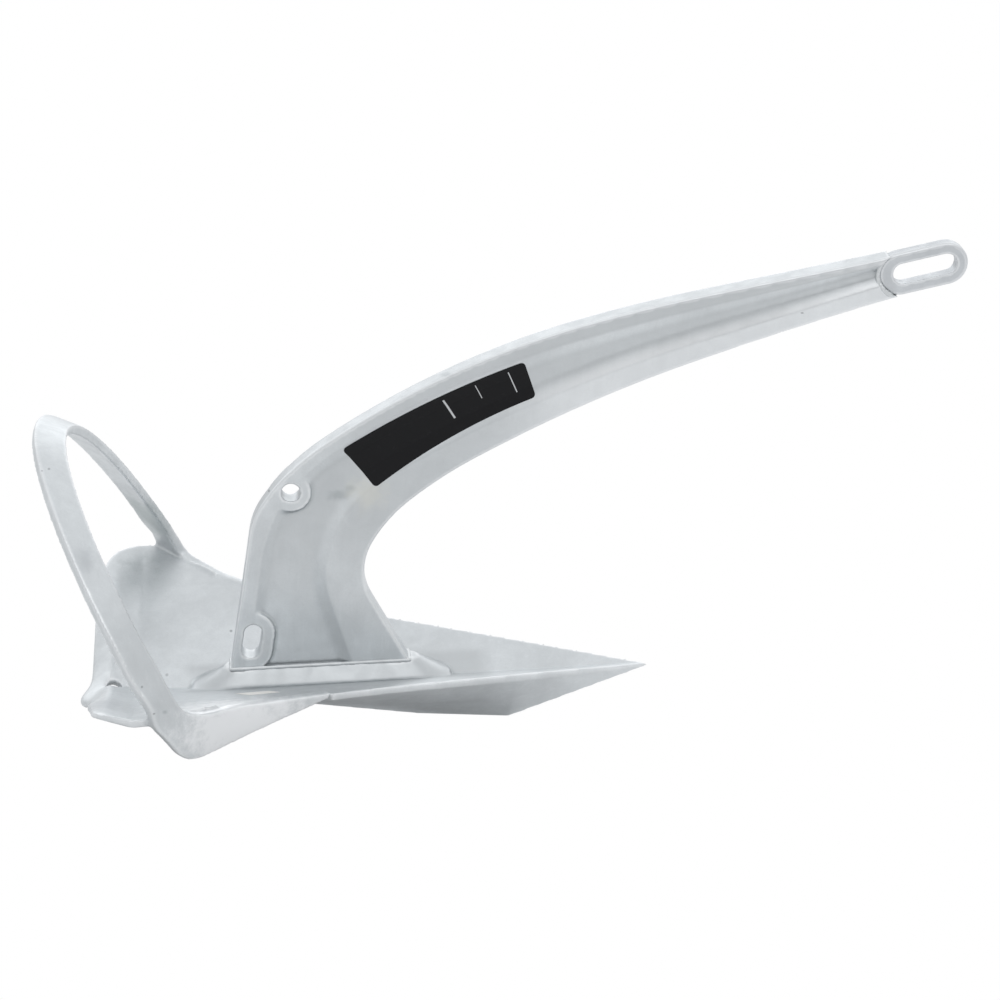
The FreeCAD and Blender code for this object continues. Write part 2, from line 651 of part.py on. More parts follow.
def build_shank():
    """Outline pad, hollow web, bosses, hole and slot."""
    body = new_body("shank")
    outline = sketch_on(body, "shank_outline", "XZ_Plane")
    shank_chain(outline, SHANK_EDGE)
    doc.recompute()
    pad = body.newObject("PartDesign::Pad", "shank_pad")
    pad.Profile = outline
    pad.SideType = "Symmetric"
    pad.Length = 2.0 * size("rim_half")
    pad.setExpression("Length", "2 * Params.rim_half")
    doc.recompute()

    rounding = body.newObject("PartDesign::Fillet", "rim_rounding")
    rounding.Base = (pad, rim_edges(pad))
    rounding.Radius = size("rim_round")
    rounding.setExpression("Radius", "Params.rim_round")
    doc.recompute()

    lofts = []
    for side, sign in (("near", 1.0), ("far", -1.0)):
        mouth = sketch_on(body, "recess_mouth_" + side, "XZ_Plane",
                          "%g * (Params.rim_half + 0.5)" % sign)
        shank_chain(mouth, RECESS_MOUTH)
        floor = sketch_on(body, "recess_floor_" + side, "XZ_Plane",
                          "%g * Params.web_half" % sign)
        shank_chain(floor, RECESS_FLOOR)
        doc.recompute()
        recess = body.newObject("PartDesign::SubtractiveLoft", "recess_" + side)
        recess.Profile = mouth
        recess.Sections = [floor]
        recess.Ruled = True
        doc.recompute()
        lofts.append(recess)

    crown = sketch_on(body, "crown_boss_sketch", "XZ_Plane")
    circle_at(crown, "crown_hole_x", "crown_hole_z", "crown_boss_radius")
    foot = sketch_on(body, "foot_boss_sketch", "XZ_Plane")
    low = named([(1.0, "foot_slot_x"), (-1.0, "foot_slot_lean")],
                [(1.0, "foot_slot_z"), (-1.0, "foot_slot_half_run")])
    high = named([(1.0, "foot_slot_x"), (1.0, "foot_slot_lean")],
                 [(1.0, "foot_slot_z"), (1.0, "foot_slot_half_run")])
    stadium(foot, low, high, size("foot_boss_radius"), "Params.foot_boss_radius")
    doc.recompute()
    for name, sketch in (("crown_boss", crown), ("foot_boss", foot)):
        boss = body.newObject("PartDesign::Pad", name)
        boss.Profile = sketch
        boss.SideType = "Symmetric"
        boss.Length = 2.0 * size("rim_half") - 0.6
        boss.setExpression("Length", "2 * Params.rim_half - 0.6")
        doc.recompute()

    weld = sketch_on(body, "eye_weld_sketch", "XZ_Plane")
    weld_radius = size("eye_radius") + size("eye_weld_width") + size("web_half")
    weld_circle = weld.addGeometry(Part.Circle(V(size("eye_x"), size("eye_z"), 0), V(0, 0, 1),
                                               weld_radius), False)
    pin(weld, weld_circle, 3, named([(1.0, "eye_x")], [(1.0, "eye_z")]))
    number = weld.addConstraint(Sketcher.Constraint("Radius", weld_circle, weld_radius))
    weld.setExpression("Constraints[%d]" % number,
                       "Params.eye_radius + Params.eye_weld_width + Params.web_half")
    doc.recompute()
    bead = body.newObject("PartDesign::Pad", "eye_weld")
    bead.Profile = weld
    bead.SideType = "Symmetric"
    bead.Length = 2.0 * (size("eye_half") + size("eye_weld_height"))
    bead.setExpression("Length", "2 * (Params.eye_half + Params.eye_weld_height)")
    bead.TaperAngle = 45.0
    doc.recompute()

    trimming = sketch_on(body, "outside_of_outline", "XZ_Plane")
    shank_chain(trimming, SHANK_EDGE)
    frame = 900.0
    polygon(trimming, [
        (-frame, -frame, "%g" % -frame, "%g" % -frame),
        (frame, -frame, "%g" % frame, "%g" % -frame),
        (frame, frame, "%g" % frame, "%g" % frame),
        (-frame, frame, "%g" % -frame, "%g" % frame),
    ])
    doc.recompute()
    trim = body.newObject("PartDesign::Pocket", "trim_bosses")
    trim.Profile = trimming
    trim.SideType = "Symmetric"
    trim.Length = 60.0
    doc.recompute()

    hole = sketch_on(body, "crown_hole_sketch", "XZ_Plane")
    circle_at(hole, "crown_hole_x", "crown_hole_z", "crown_hole_radius")
    slot = sketch_on(body, "foot_slot_sketch", "XZ_Plane")
    stadium(slot, low, high, size("foot_slot_radius"), "Params.foot_slot_radius")
    notch = sketch_on(body, "eye_notch_sketch", "XZ_Plane")
    circle_at(notch, "eye_x", "eye_z", "eye_radius")
    doc.recompute()
    for name, sketch in (("crown_hole", hole), ("foot_slot", slot), ("eye_notch", notch)):
        cut = body.newObject("PartDesign::Pocket", name)
        cut.Profile = sketch
        cut.SideType = "Symmetric"
        cut.Length = 80.0
        doc.recompute()
    return body


# The shackle eye: a round-ended plate with a long slot


def build_eye():
    """Round-ended plate welded into the end of the shank."""
    body = new_body("shackle_eye")
    outline = sketch_on(body, "eye_outline", "XZ_Plane")
    rear = named([(1.0, "eye_x")], [(1.0, "eye_z")])
    front = named([(1.0, "eye_x"), (1.0, "eye_run")], [(1.0, "eye_z"), (1.0, "eye_climb")])
    stadium(outline, rear, front, size("eye_radius"), "Params.eye_radius")
    doc.recompute()
    pad = body.newObject("PartDesign::Pad", "eye_pad")
    pad.Profile = outline
    pad.SideType = "Symmetric"
    pad.Length = 2.0 * size("eye_half")
    pad.setExpression("Length", "2 * Params.eye_half")
    doc.recompute()
    slot = sketch_on(body, "eye_slot_sketch", "XZ_Plane")
    slot_rear = named([(1.0, "eye_x"), (0.96, "eye_slot_start")],
                      [(1.0, "eye_z"), (0.28, "eye_slot_start")])
    stadium(slot, slot_rear, front, size("eye_slot_radius"), "Params.eye_slot_radius")
    doc.recompute()
    cut = body.newObject("PartDesign::Pocket", "eye_slot")
    cut.Profile = slot
    cut.SideType = "Symmetric"
    cut.Length = 60.0
    doc.recompute()
    names = []
    for index, edge in enumerate(cut.Shape.Edges):
        box = edge.BoundBox
        on_face = box.YLength < 0.01 and abs(abs(box.YMin) - size("eye_half")) < 0.01
        if on_face and box.ZLength > 2.0 * size("eye_slot_radius") + 4.0:
            names.append("Edge%d" % (index + 1))
        elif on_face and box.XLength > size("eye_run") - 1.5:
            names.append("Edge%d" % (index + 1))
    bevel = body.newObject("PartDesign::Chamfer", "eye_bevel")
    bevel.Base = (cut, names)
    bevel.Size = size("eye_bevel")
    bevel.setExpression("Size", "Params.eye_bevel")
    doc.recompute()
    return body


# The roll bar: one strap whose ends run on as the skids


def skid_point(offsets, side):
    """Point of the skid; offsets are forward, down and inward from the bar's foot."""
    forward, down, inward = offsets
    across = size("hoop_base_x") + forward * size("skid_length") / SKID_RUN
    height = size("hoop_base_z") - down * size("skid_drop") / SKID_FALL
    half = size("hoop_base_half") - inward
    return V(across, side * half, height)


def hoop_point(angle, base_x, half, height, fullness):
    """Point of one corner line of the hoop, an oval in a leaning plane."""
    lean = math.radians(size("hoop_lean"))
    climb = height * max(math.sin(angle), 0.0) ** fullness
    return V(base_x - climb * math.sin(lean),
             -half * math.cos(angle),
             size("hoop_base_z") + climb * math.cos(lean))


def bar_stations():
    """Stations along the strap, from the near skid over the top to the far one."""
    stations = []
    for lower, upper, depth in reversed(SKID_STATIONS):
        stations.append((skid_point(lower, -1.0), skid_point(upper, -1.0), depth))
    steps = 16
    front_x = size("hoop_base_x") + size("hoop_front_step")
    for index in range(steps + 1):
        angle = math.pi * index / steps
        angle = angle - 0.09 * math.sin(2.0 * angle)
        rear = hoop_point(angle, size("hoop_base_x"), size("hoop_base_half"),
                          size("hoop_height"), REAR_FULLNESS)
        front = hoop_point(angle, front_x, size("hoop_front_half"),
                           size("hoop_front_height"), FRONT_FULLNESS)
        stations.append((rear, front, 1.0))
    for lower, upper, depth in SKID_STATIONS:
        stations.append((skid_point(lower, 1.0), skid_point(upper, 1.0), depth))
    return stations


def bar_corners():
    """The strap's four corners at each station, and the distances between stations."""
    thick = size("bar_thick")
    stations = bar_stations()
    middles = [(rear + front) * 0.5 for rear, front, depth in stations]
    corners = []
    for index, (rear, front, depth) in enumerate(stations):
        before = middles[max(index - 1, 0)]
        after = middles[min(index + 1, len(middles) - 1)]
        along = (after - before).normalize()
        across = front - rear
        across = across - along * across.dot(along)
        tilt = math.asin(min(depth * thick / across.Length, 0.9))
        across.normalize()
        outward = across.cross(along)
        face = across * math.sin(tilt) + outward * math.cos(tilt)
        outer_rear = rear + face * (depth * thick)
        inner_rear = outer_rear - face * thick
        corners.append((outer_rear, front, front - face * thick, inner_rear))
    distances = [0.0]
    for index in range(1, len(middles)):
        distances.append(distances[-1] + (middles[index] - middles[index - 1]).Length)
    return corners, distances


def build_roll_bar():
    """Solid strap between four ruled faces."""
    corners, distances = bar_corners()
    edges = []
    for index in range(4):
        curve = Part.BSplineCurve()
        curve.interpolate(Points=[ring[index] for ring in corners], Parameters=distances)
        edges.append(curve.toShape())
    faces = []
    for index in range(4):
        faces.append(Part.makeRuledSurface(edges[index], edges[(index + 1) % 4]))
    for ring in (corners[0], corners[-1]):
        loop = Part.makePolygon(list(ring) + [ring[0]])
        faces.append(Part.makeFilledFace(loop.Edges))
    shell = Part.Shell(Part.Compound(faces).Faces)
    shell.sewShape()
    solid = Part.Solid(shell)
    if solid.Volume < 0:
        solid.reverse()
    feature = doc.addObject("Part::Feature", "roll_bar")
    feature.Label = "roll_bar"
    feature.Shape = solid
    return feature


# The weld beads and fillets


def valley_height(station):
    """Height of the valley line at a distance from the heel, ahead of the roll bar."""
    ratio = (station - size("wing_x")) / (size("toe_x") - size("wing_x"))
    return size("wing_valley_z") + (size("toe_z") - size("wing_valley_z")) * ratio


def largest(shape):
    """Largest solid of a shape."""
    return max(shape.Solids, key=lambda solid: solid.Volume)


def ring_at(rear, front, half, height):
    """Round-ended wire along the valley, at a height over the valley line."""
    slope = (size("toe_z") - size("wing_valley_z")) / (size("toe_x") - size("wing_x"))
    along = V(1.0, 0, slope).normalize()
    up = V(-along.z, 0, along.x)
    side = V(0, half, 0)
    start = V(rear, 0, valley_height(rear)) + up * height + along * half
    end = V(front, 0, valley_height(front)) + up * height - along * half
    reach = along * half
    back_arc = Part.Arc(start + side, start - reach, start - side).toShape()
    front_arc = Part.Arc(end - side, end + reach, end + side).toShape()
    near = Part.makeLine(start - side, end - side)
    far = Part.makeLine(end + side, start + side)
    return Part.Wire([back_arc, near, front_arc, far])


def build_foot_weld(fluke_shape, shank_shape):
    """Smooth fillet all round the foot of the shank."""
    rear = size("foot_x")
    front = rear + SHANK_EDGE[-1][0] * size("shank_scale")
    half = size("foot_weld_half")
    top = size("foot_weld_height")
    rim = size("rim_half")
    steps = [
        (33.0, 30.0, half, 0.20),
        (23.0, 20.5, 0.80 * half, 0.42),
        (14.0, 12.0, 0.64 * half, 0.64),
        (7.0, 5.5, rim + 3.6, 0.83),
        (2.0, 0.0, rim + 0.5, 1.0),
    ]
    rings = []
    for back, ahead, width, level in steps:
        rings.append(ring_at(rear - back, front + ahead, width, level * top))
    mound = Part.makeLoft(rings, True, True)
    under_rings = [
        ring_at(rear - 33.0, front + 30.0, half, -3.0),
        ring_at(rear - 33.0, front + 30.0, half, 0.20 * top),
    ]
    base = Part.makeLoft(under_rings, True, True)
    whole = mound.fuse(base)
    feature = doc.addObject("Part::Feature", "shank_foot_weld")
    feature.Label = "shank_foot_weld"
    feature.Shape = largest(whole.cut(fluke_shape).cut(shank_shape))
    return feature


def build_bar_weld(name, side):
    """Bead in the corner between the blade and the inner face of the bar.

    It runs along the contact line and keeps a hair clear of both faces.
    """
    hair = 0.06
    width = size("bar_weld_radius")
    rings = []
    for outer_rear, outer_front, inner_front, inner_rear in reversed(bar_corners()[0]):
        if inner_rear.y > 0.0 or inner_rear.z > size("hoop_base_z") - 5.0:
            continue
        foot = blade_contact(inner_rear, inner_front)
        if foot.x > 132.0:
            continue
        climb = (inner_front - inner_rear).normalize()
        climb = climb if climb.z > 0.0 else climb * -1.0
        off_bar = (inner_front - outer_front).normalize()
        half = -foot.y
        rise = blade_top(foot.x, half) - blade_top(foot.x, half - 1.0)
        inward = V(0, 1.0, -rise).normalize()
        upward = V(0, rise, 1.0).normalize()
        root = foot + off_bar * hair + upward * (2.0 * hair)
        root = root + inward * (hair / max(off_bar.dot(inward), 0.3))
        root.z = max(root.z, blade_top(root.x, -root.y) + 2.0 * hair)
        ring = []
        for over, up in ((0.0, 0.0), (1.0, 0.0), (0.8, 0.4), (0.4, 0.8), (0.0, 1.0)):
            ring.append(root + inward * (over * width) + climb * (up * width))
        rings.append(ring)
    wires = []
    for ring in rings:
        corners = [V(point.x, point.y * -side, point.z) for point in ring]
        wires.append(Part.makePolygon(corners + corners[:1]))
    feature = doc.addObject("Part::Feature", name)
    feature.Label = name
    feature.Shape = largest(Part.makeLoft(wires, True, True))
    return feature


# The label and the paper sticker, thin layers over the faces that carry them


def shank_point(offsets, depth):
    """Point in the side view of the shank, at a depth along Y."""
    forward, up = offsets
    return V(size("foot_x") + forward * size("shank_scale"), depth,
             size("foot_z") + up * size("shank_scale"))


def build_label(shank_shape):
    """Bare film that follows the hollow of the near side."""
    depth = -size("rim_half") - 1.0
    corners = [shank_point(corner, depth) for corner in LABEL_CORNERS]
    left = Part.makeLine(corners[0], corners[1])
    bottom = Part.Arc(corners[1], shank_point(LABEL_BOTTOM, depth), corners[2]).toShape()
    right = Part.makeLine(corners[2], corners[3])
    top = Part.Arc(corners[3], shank_point(LABEL_TOP, depth), corners[0]).toShape()
    face = Part.Face(Part.Wire([left, bottom, right, top]))
    prism = face.extrude(V(0, size("rim_half"), 0))
    upright = [edge for edge in prism.Edges if edge.BoundBox.YLength > 5.0]
    prism = prism.makeFillet(LABEL_CORNER_ROUND, upright)
    lifted = shank_shape.copy()
    lifted.translate(V(0, -size("label_thick"), 0))
    feature = doc.addObject("Part::Feature", "label")
    feature.Label = "label"
    feature.Shape = largest(lifted.common(prism).cut(shank_shape))
    return feature


def build_sticker(fluke_shape):
    """Paper patch on the near half of the blade."""
    corners = [V(across, side, 0.0) for across, side in STICKER_CORNERS]
    face = Part.Face(Part.makePolygon(corners + corners[:1]))
    prism = face.extrude(V(0, 0, 120.0))
    lifted = fluke_shape.copy()
    lifted.translate(V(0, 0, size("sticker_thick")))
    feature = doc.addObject("Part::Feature", "sticker")
    feature.Label = "sticker"
    feature.Shape = largest(lifted.common(prism).cut(fluke_shape))
    return feature


# How the anchor comes to rest


def corner_points(shape):
    """Points all over a shape, close enough to find what touches the floor."""
    return shape.tessellate(0.05)[0]


def lowest(points, upward):
    """Lowest of some points, seen along a direction."""
    return min(points, key=lambda point: point.dot(upward))


def rest_placement(parts):
    """Placement that sets keel, heel and near skid on the floor, box centred on it."""
    blade_points = corner_points(parts["fluke"].Shape)
    skid_points = [point for point in corner_points(parts["roll_bar"].Shape) if point.y < 0]
    keel_points = [point for point in blade_points if point.x > size("keel_fade_x")]
    heel_points = [point for point in blade_points if point.x < size("heel_corner_x")]
    upward = V(0, 0, 1)
    for _ in range(12):
        keel = lowest(keel_points, upward)
        heel = lowest(heel_points, upward)
        skid = lowest(skid_points, upward)
        upward = (heel - keel).cross(skid - keel)
        upward.normalize()
        if upward.z < 0:
            upward = upward * -1.0
    turn = FreeCAD.Rotation(upward, V(0, 0, 1))
    placed = []
    for part in parts.values():
        placed.extend(turn.multVec(point) for point in corner_points(part.Shape))
    low = V(min(p.x for p in placed), min(p.y for p in placed), min(p.z for p in placed))
    high = V(max(p.x for p in placed), max(p.y for p in placed), max(p.z for p in placed))
    shift = V(-(low.x + high.x) / 2.0, -(low.y + high.y) / 2.0, -low.z)
    return FreeCAD.Placement(shift, turn)


def check(objects):
    """Stop when any object failed or a piece is not one valid solid."""
    for item in doc.Objects:
        states = [str(state) for state in item.State]
        if "Invalid" in states or "Error" in states:
            raise RuntimeError("%s failed: %s" % (item.Name, states))
    for item in objects:
        shape = item.Shape
        if shape.isNull() or not shape.isValid() or len(shape.Solids) != 1:
            raise RuntimeError("%s is not one valid solid" % item.Label)


fluke = build_fluke()
shank = build_shank()
eye = build_eye()
roll_bar = build_roll_bar()
fluke_shape = fluke.Shape.copy()
shank_shape = shank.Shape.copy()
pieces = [fluke, shank, eye, roll_bar]
pieces.append(build_foot_weld(fluke_shape, shank_shape))
pieces.append(build_bar_weld("bar_weld_left", 1.0))
pieces.append(build_bar_weld("bar_weld_right", -1.0))
pieces.append(build_label(shank_shape))
pieces.append(build_sticker(fluke_shape))
doc.recompute()

rest = rest_placement({piece.Label: piece for piece in pieces})
for piece in pieces:
    piece.Placement = rest
doc.recompute()
check(pieces)
os.makedirs("parts", exist_ok=True)
for piece in pieces:
    piece.Shape.exportStep("parts/%s.step" % piece.Label)
print("rest placement", rest)
for piece in pieces:
    print(piece.Label, round(piece.Shape.Volume), piece.Shape.BoundBox)
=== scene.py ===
"""Scoop anchor, dipped in zinc, on a plain white floor."""
import bpy
import json
import math
import numpy
from mathutils import Euler, Matrix, Vector


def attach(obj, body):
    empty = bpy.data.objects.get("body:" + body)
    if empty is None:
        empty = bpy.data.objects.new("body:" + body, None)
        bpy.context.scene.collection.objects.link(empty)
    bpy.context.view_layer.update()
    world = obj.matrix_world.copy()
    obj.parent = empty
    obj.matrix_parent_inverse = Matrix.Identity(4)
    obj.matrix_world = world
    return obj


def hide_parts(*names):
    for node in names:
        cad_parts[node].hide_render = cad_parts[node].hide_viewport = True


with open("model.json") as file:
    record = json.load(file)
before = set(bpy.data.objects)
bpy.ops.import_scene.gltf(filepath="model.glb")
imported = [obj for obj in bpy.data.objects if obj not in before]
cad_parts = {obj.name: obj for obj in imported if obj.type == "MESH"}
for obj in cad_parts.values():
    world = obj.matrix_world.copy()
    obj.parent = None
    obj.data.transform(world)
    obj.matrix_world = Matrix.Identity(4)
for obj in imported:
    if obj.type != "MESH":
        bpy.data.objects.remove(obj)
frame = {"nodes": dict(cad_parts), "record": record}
nodes = frame["nodes"]
mounts = {mount["name"]: mount for mount in frame["record"]["mounts"]}
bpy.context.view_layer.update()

# The anchor's own frame

# X runs forward from the rear plane, Y to the far side and Z up, in millimetres, as the anchor
# stands before it leans over on one skid. The row frame is in metres, with the anchor at rest.
# The lean is in degrees about X, Y and Z, and the place is where the anchor's own origin lies.

MM_PER_M = 1000.0
LEAN_ANGLES = (11.3393, 0.56951, 0.0565405)
LEAN = Euler([math.radians(angle) for angle in LEAN_ANGLES]).to_matrix()
PLACE = Vector((-0.372643, 0.0176725, 0.00402557))


def at(forward, side, up):
    """Row-frame place of a point of the anchor frame."""
    return LEAN @ (Vector((forward, side, up)) / MM_PER_M) + PLACE


def own(place):
    """Anchor-frame point of a row-frame place."""
    return LEAN.transposed() @ (Vector(place) - PLACE) * MM_PER_M


CROWN_HOLE = own(mounts["crown_hole"]["pos_m"])
FOOT_SLOT = own(mounts["foot_slot"]["pos_m"])
EYE_SLOT = own(mounts["eye_slot"]["pos_m"])

# Half the shank's thickness at its rim and at the floor of its hollow
RIM_HALF = 11.0
WEB_HALF = 6.5

# Centre of the shackle plate's round rear end, from the middle of its slot, and its radius
EYE_REAR_BACK = 21.9
EYE_REAR_DOWN = 6.5
EYE_REAR = Vector((EYE_SLOT.x - EYE_REAR_BACK, 0.0, EYE_SLOT.z - EYE_REAR_DOWN))
EYE_RADIUS = 19.6

# Rear and front end of the foot weld's upper edge
FOOT_REAR = Vector((142.2, 0.0, 44.1))
FOOT_FRONT = Vector((306.6, 0.0, 60.2))

# Rear end of the shank's foot, and the middle line of its hollow as forward and up from there
SHANK_REAR = CROWN_HOLE - Vector((47.3, 0.0, 195.9))
HOLLOW_MIDDLE = [(121.0, 236.0), (222.0, 296.0), (303.0, 334.0), (409.0, 375.0), (600.0, 442.0)]

# Nodes of a material


def tree_of(name):
    """New material with an empty node tree and its output."""
    material = bpy.data.materials.new(name)
    material.use_nodes = True
    tree = material.node_tree
    tree.nodes.clear()
    output = tree.nodes.new("ShaderNodeOutputMaterial")
    return material, tree, output


def link(tree, source, target):
    """Connect two sockets."""
    tree.links.new(source, target)


def row_place(tree):
    """Position in the row frame, in metres."""
    return tree.nodes.new("ShaderNodeTexCoord").outputs["Object"]


def stretched(tree, place, scale, turn):
    """Coordinates turned and scaled, so that a texture runs in one direction."""
    mapping = tree.nodes.new("ShaderNodeMapping")
    mapping.inputs["Rotation"].default_value = turn
    mapping.inputs["Scale"].default_value = scale
    link(tree, place, mapping.inputs["Vector"])
    return mapping.outputs["Vector"]


def noise(tree, place, scale, detail, rough=0.5, distortion=0.0):
    """Value of a noise texture."""
    node = tree.nodes.new("ShaderNodeTexNoise")
    node.inputs["Scale"].default_value = scale
    node.inputs["Detail"].default_value = detail
    node.inputs["Roughness"].default_value = rough
    node.inputs["Distortion"].default_value = distortion
    link(tree, place, node.inputs["Vector"])
    return node.outputs["Fac"]


def ranged(tree, value, low, high, to_low, to_high):
    """Smooth step from one range to another."""
    node = tree.nodes.new("ShaderNodeMapRange")
    node.interpolation_type = "SMOOTHSTEP"
    node.inputs["From Min"].default_value = low
    node.inputs["From Max"].default_value = high
    node.inputs["To Min"].default_value = to_low
    node.inputs["To Max"].default_value = to_high
    link(tree, value, node.inputs["Value"])
    return node.outputs["Result"]


def computed(tree, operation, first, second=0.0):
    """Result of a math node; inputs are sockets or numbers."""
    node = tree.nodes.new("ShaderNodeMath")
    node.operation = operation
    for index, value in enumerate((first, second)):
        if isinstance(value, float):
            node.inputs[index].default_value = value
        else:
            link(tree, value, node.inputs[index])
    return node.outputs["Value"]


def mixed(tree, factor, first, second):
    """Mix of two colours, each a socket or a colour, by the value of a socket."""
    node = tree.nodes.new("ShaderNodeMix")
    node.data_type = "RGBA"
    link(tree, factor, node.inputs["Factor"])
    sockets = [socket for socket in node.inputs if socket.type == "RGBA"]
    for socket, value in zip(sockets, (first, second)):
        if isinstance(value, tuple):
            socket.default_value = (*value, 1.0)
        else:
            link(tree, value, socket)
    return [socket for socket in node.outputs if socket.type == "RGBA"][0]


def vector_math(tree, operation, first, second=None):
    """Vector math node over a socket and, where it takes two inputs, a plain vector."""
    node = tree.nodes.new("ShaderNodeVectorMath")
    node.operation = operation
    link(tree, first, node.inputs[0])
    if second is not None:
        node.inputs[1].default_value = second
    return node


def bump(tree, height, strength, distance, under=None):
    """Bump node over an optional normal."""
    node = tree.nodes.new("ShaderNodeBump")
    node.inputs["Strength"].default_value = strength
    node.inputs["Distance"].default_value = distance
    link(tree, height, node.inputs["Height"])
    if under is not None:
        link(tree, under, node.inputs["Normal"])
    return node.outputs["Normal"]


def attribute(tree, name):
    """Value of a number kept at each vertex."""
    node = tree.nodes.new("ShaderNodeAttribute")
    node.attribute_name = name
    return node.outputs["Fac"]


def times(colour, factor):
    """Colour made lighter or darker."""
    return tuple(min(value * factor, 1.0) for value in colour)


# Zinc


# Colours of marks and patches; the dark stain also serves painted shade, the pale zinc painted
# light and painted highlights
DARK_STAIN_AND_SHADE = (0.30, 0.33, 0.34)
YELLOW_TINT = (0.70, 0.69, 0.62)
SOOT = (0.10, 0.10, 0.11)
PALE_ZINC_AND_HIGHLIGHT = (0.88, 0.89, 0.90)
CORNER_SHADE_GREY = (0.20, 0.21, 0.22)
METAL_SHARE = 0.85

# Noise textures: scale per metre, detail, roughness and distortion
CLOUD = (9.0, 4.0, 0.55, 0.4)
MOTTLE = (55.0, 4.0, 0.6, 0.6)
FINE = (520.0, 3.0, 0.6)
RAGGED = (110.0, 5.0, 0.65)
RUNS = (1.0, 4.0, 0.6)
RUN_STRETCH = (170.0, 170.0, 9.0)

# Clouds: range of the texture and what it becomes, darkest and lightest share of the base colour
CLOUD_RANGE = (0.35, 0.65, 0.0, 1.0)
CLOUD_DARK = 0.93
CLOUD_LIGHT = 1.05

# How strongly the painted shade and painted light kept at the vertices show, how dark the painted
# shade is, and over which bends per mm the painted highlight on edges and the painted shade in
# creases come
PAINTED_SHADE_STRENGTH = 0.75
PAINTED_SHADE_TONE = 0.78
PAINTED_LIGHT_STRENGTH = 0.75
EDGE_BENDS = (0.03, 0.18)
EDGE_HIGHLIGHT = 0.45
CREASE_BENDS = (-0.03, -0.16)
CREASE_SHADE = 0.38

# Painted shade in tight corners, as grey by the occlusion: reach in metres, open share of the sky,
# strength in the tightest
CORNER_REACH = 0.008
CORNER_OPEN = (0.10, 0.55)
CORNER_STRENGTH = 0.25
CORNER_SAMPLES = 6

# How far the ragged noise moves the outline of a mark, as a share of its radius
RAGGED_REACH = 1.2

# Roughness below and above the plain value, over this range of the mottle
ROUGH_SPAN = (0.3, 0.7)
ROUGH_LESS = 0.05
ROUGH_MORE = 0.07


def spot(tree, place, centre, radii, ragged, soft):
    """Mask of a soft patch round a point, with a ragged outline."""
    offset = vector_math(tree, "SUBTRACT", place, Vector(centre)).outputs["Vector"]
    scaled = vector_math(tree, "DIVIDE", offset, Vector(radii)).outputs["Vector"]
    length = vector_math(tree, "LENGTH", scaled).outputs["Value"]
    wobble = computed(tree, "MULTIPLY", computed(tree, "SUBTRACT", ragged, 0.5), RAGGED_REACH)
    return ranged(tree, computed(tree, "ADD", length, wobble), 1.0 - soft, 1.0, 1.0, 0.0)


def shaped_colour(tree, colour, base):
    """Zinc's colour with painted shade and painted light over given areas, a painted highlight on
    convex edges and painted shade in creases.
    """
    # Painted shade, as strong as the share kept at each vertex
    painted_shade = computed(tree, "MULTIPLY", attribute(tree, "painted_shade"), PAINTED_SHADE_STRENGTH)
    colour = mixed(tree, painted_shade, colour, times(base, PAINTED_SHADE_TONE))
    # Painted light, as strong as the share kept at each vertex
    painted_light = computed(tree, "MULTIPLY", attribute(tree, "painted_light"), PAINTED_LIGHT_STRENGTH)
    colour = mixed(tree, painted_light, colour, PALE_ZINC_AND_HIGHLIGHT)
    # Painted highlight on convex edges and painted shade in creases, by the bend of the surface
    bend = attribute(tree, "bend")
    colour = mixed(tree, ranged(tree, bend, *EDGE_BENDS, 0.0, EDGE_HIGHLIGHT), colour, PALE_ZINC_AND_HIGHLIGHT)
    return mixed(tree, ranged(tree, bend, *CREASE_BENDS, 0.0, CREASE_SHADE), colour, DARK_STAIN_AND_SHADE)


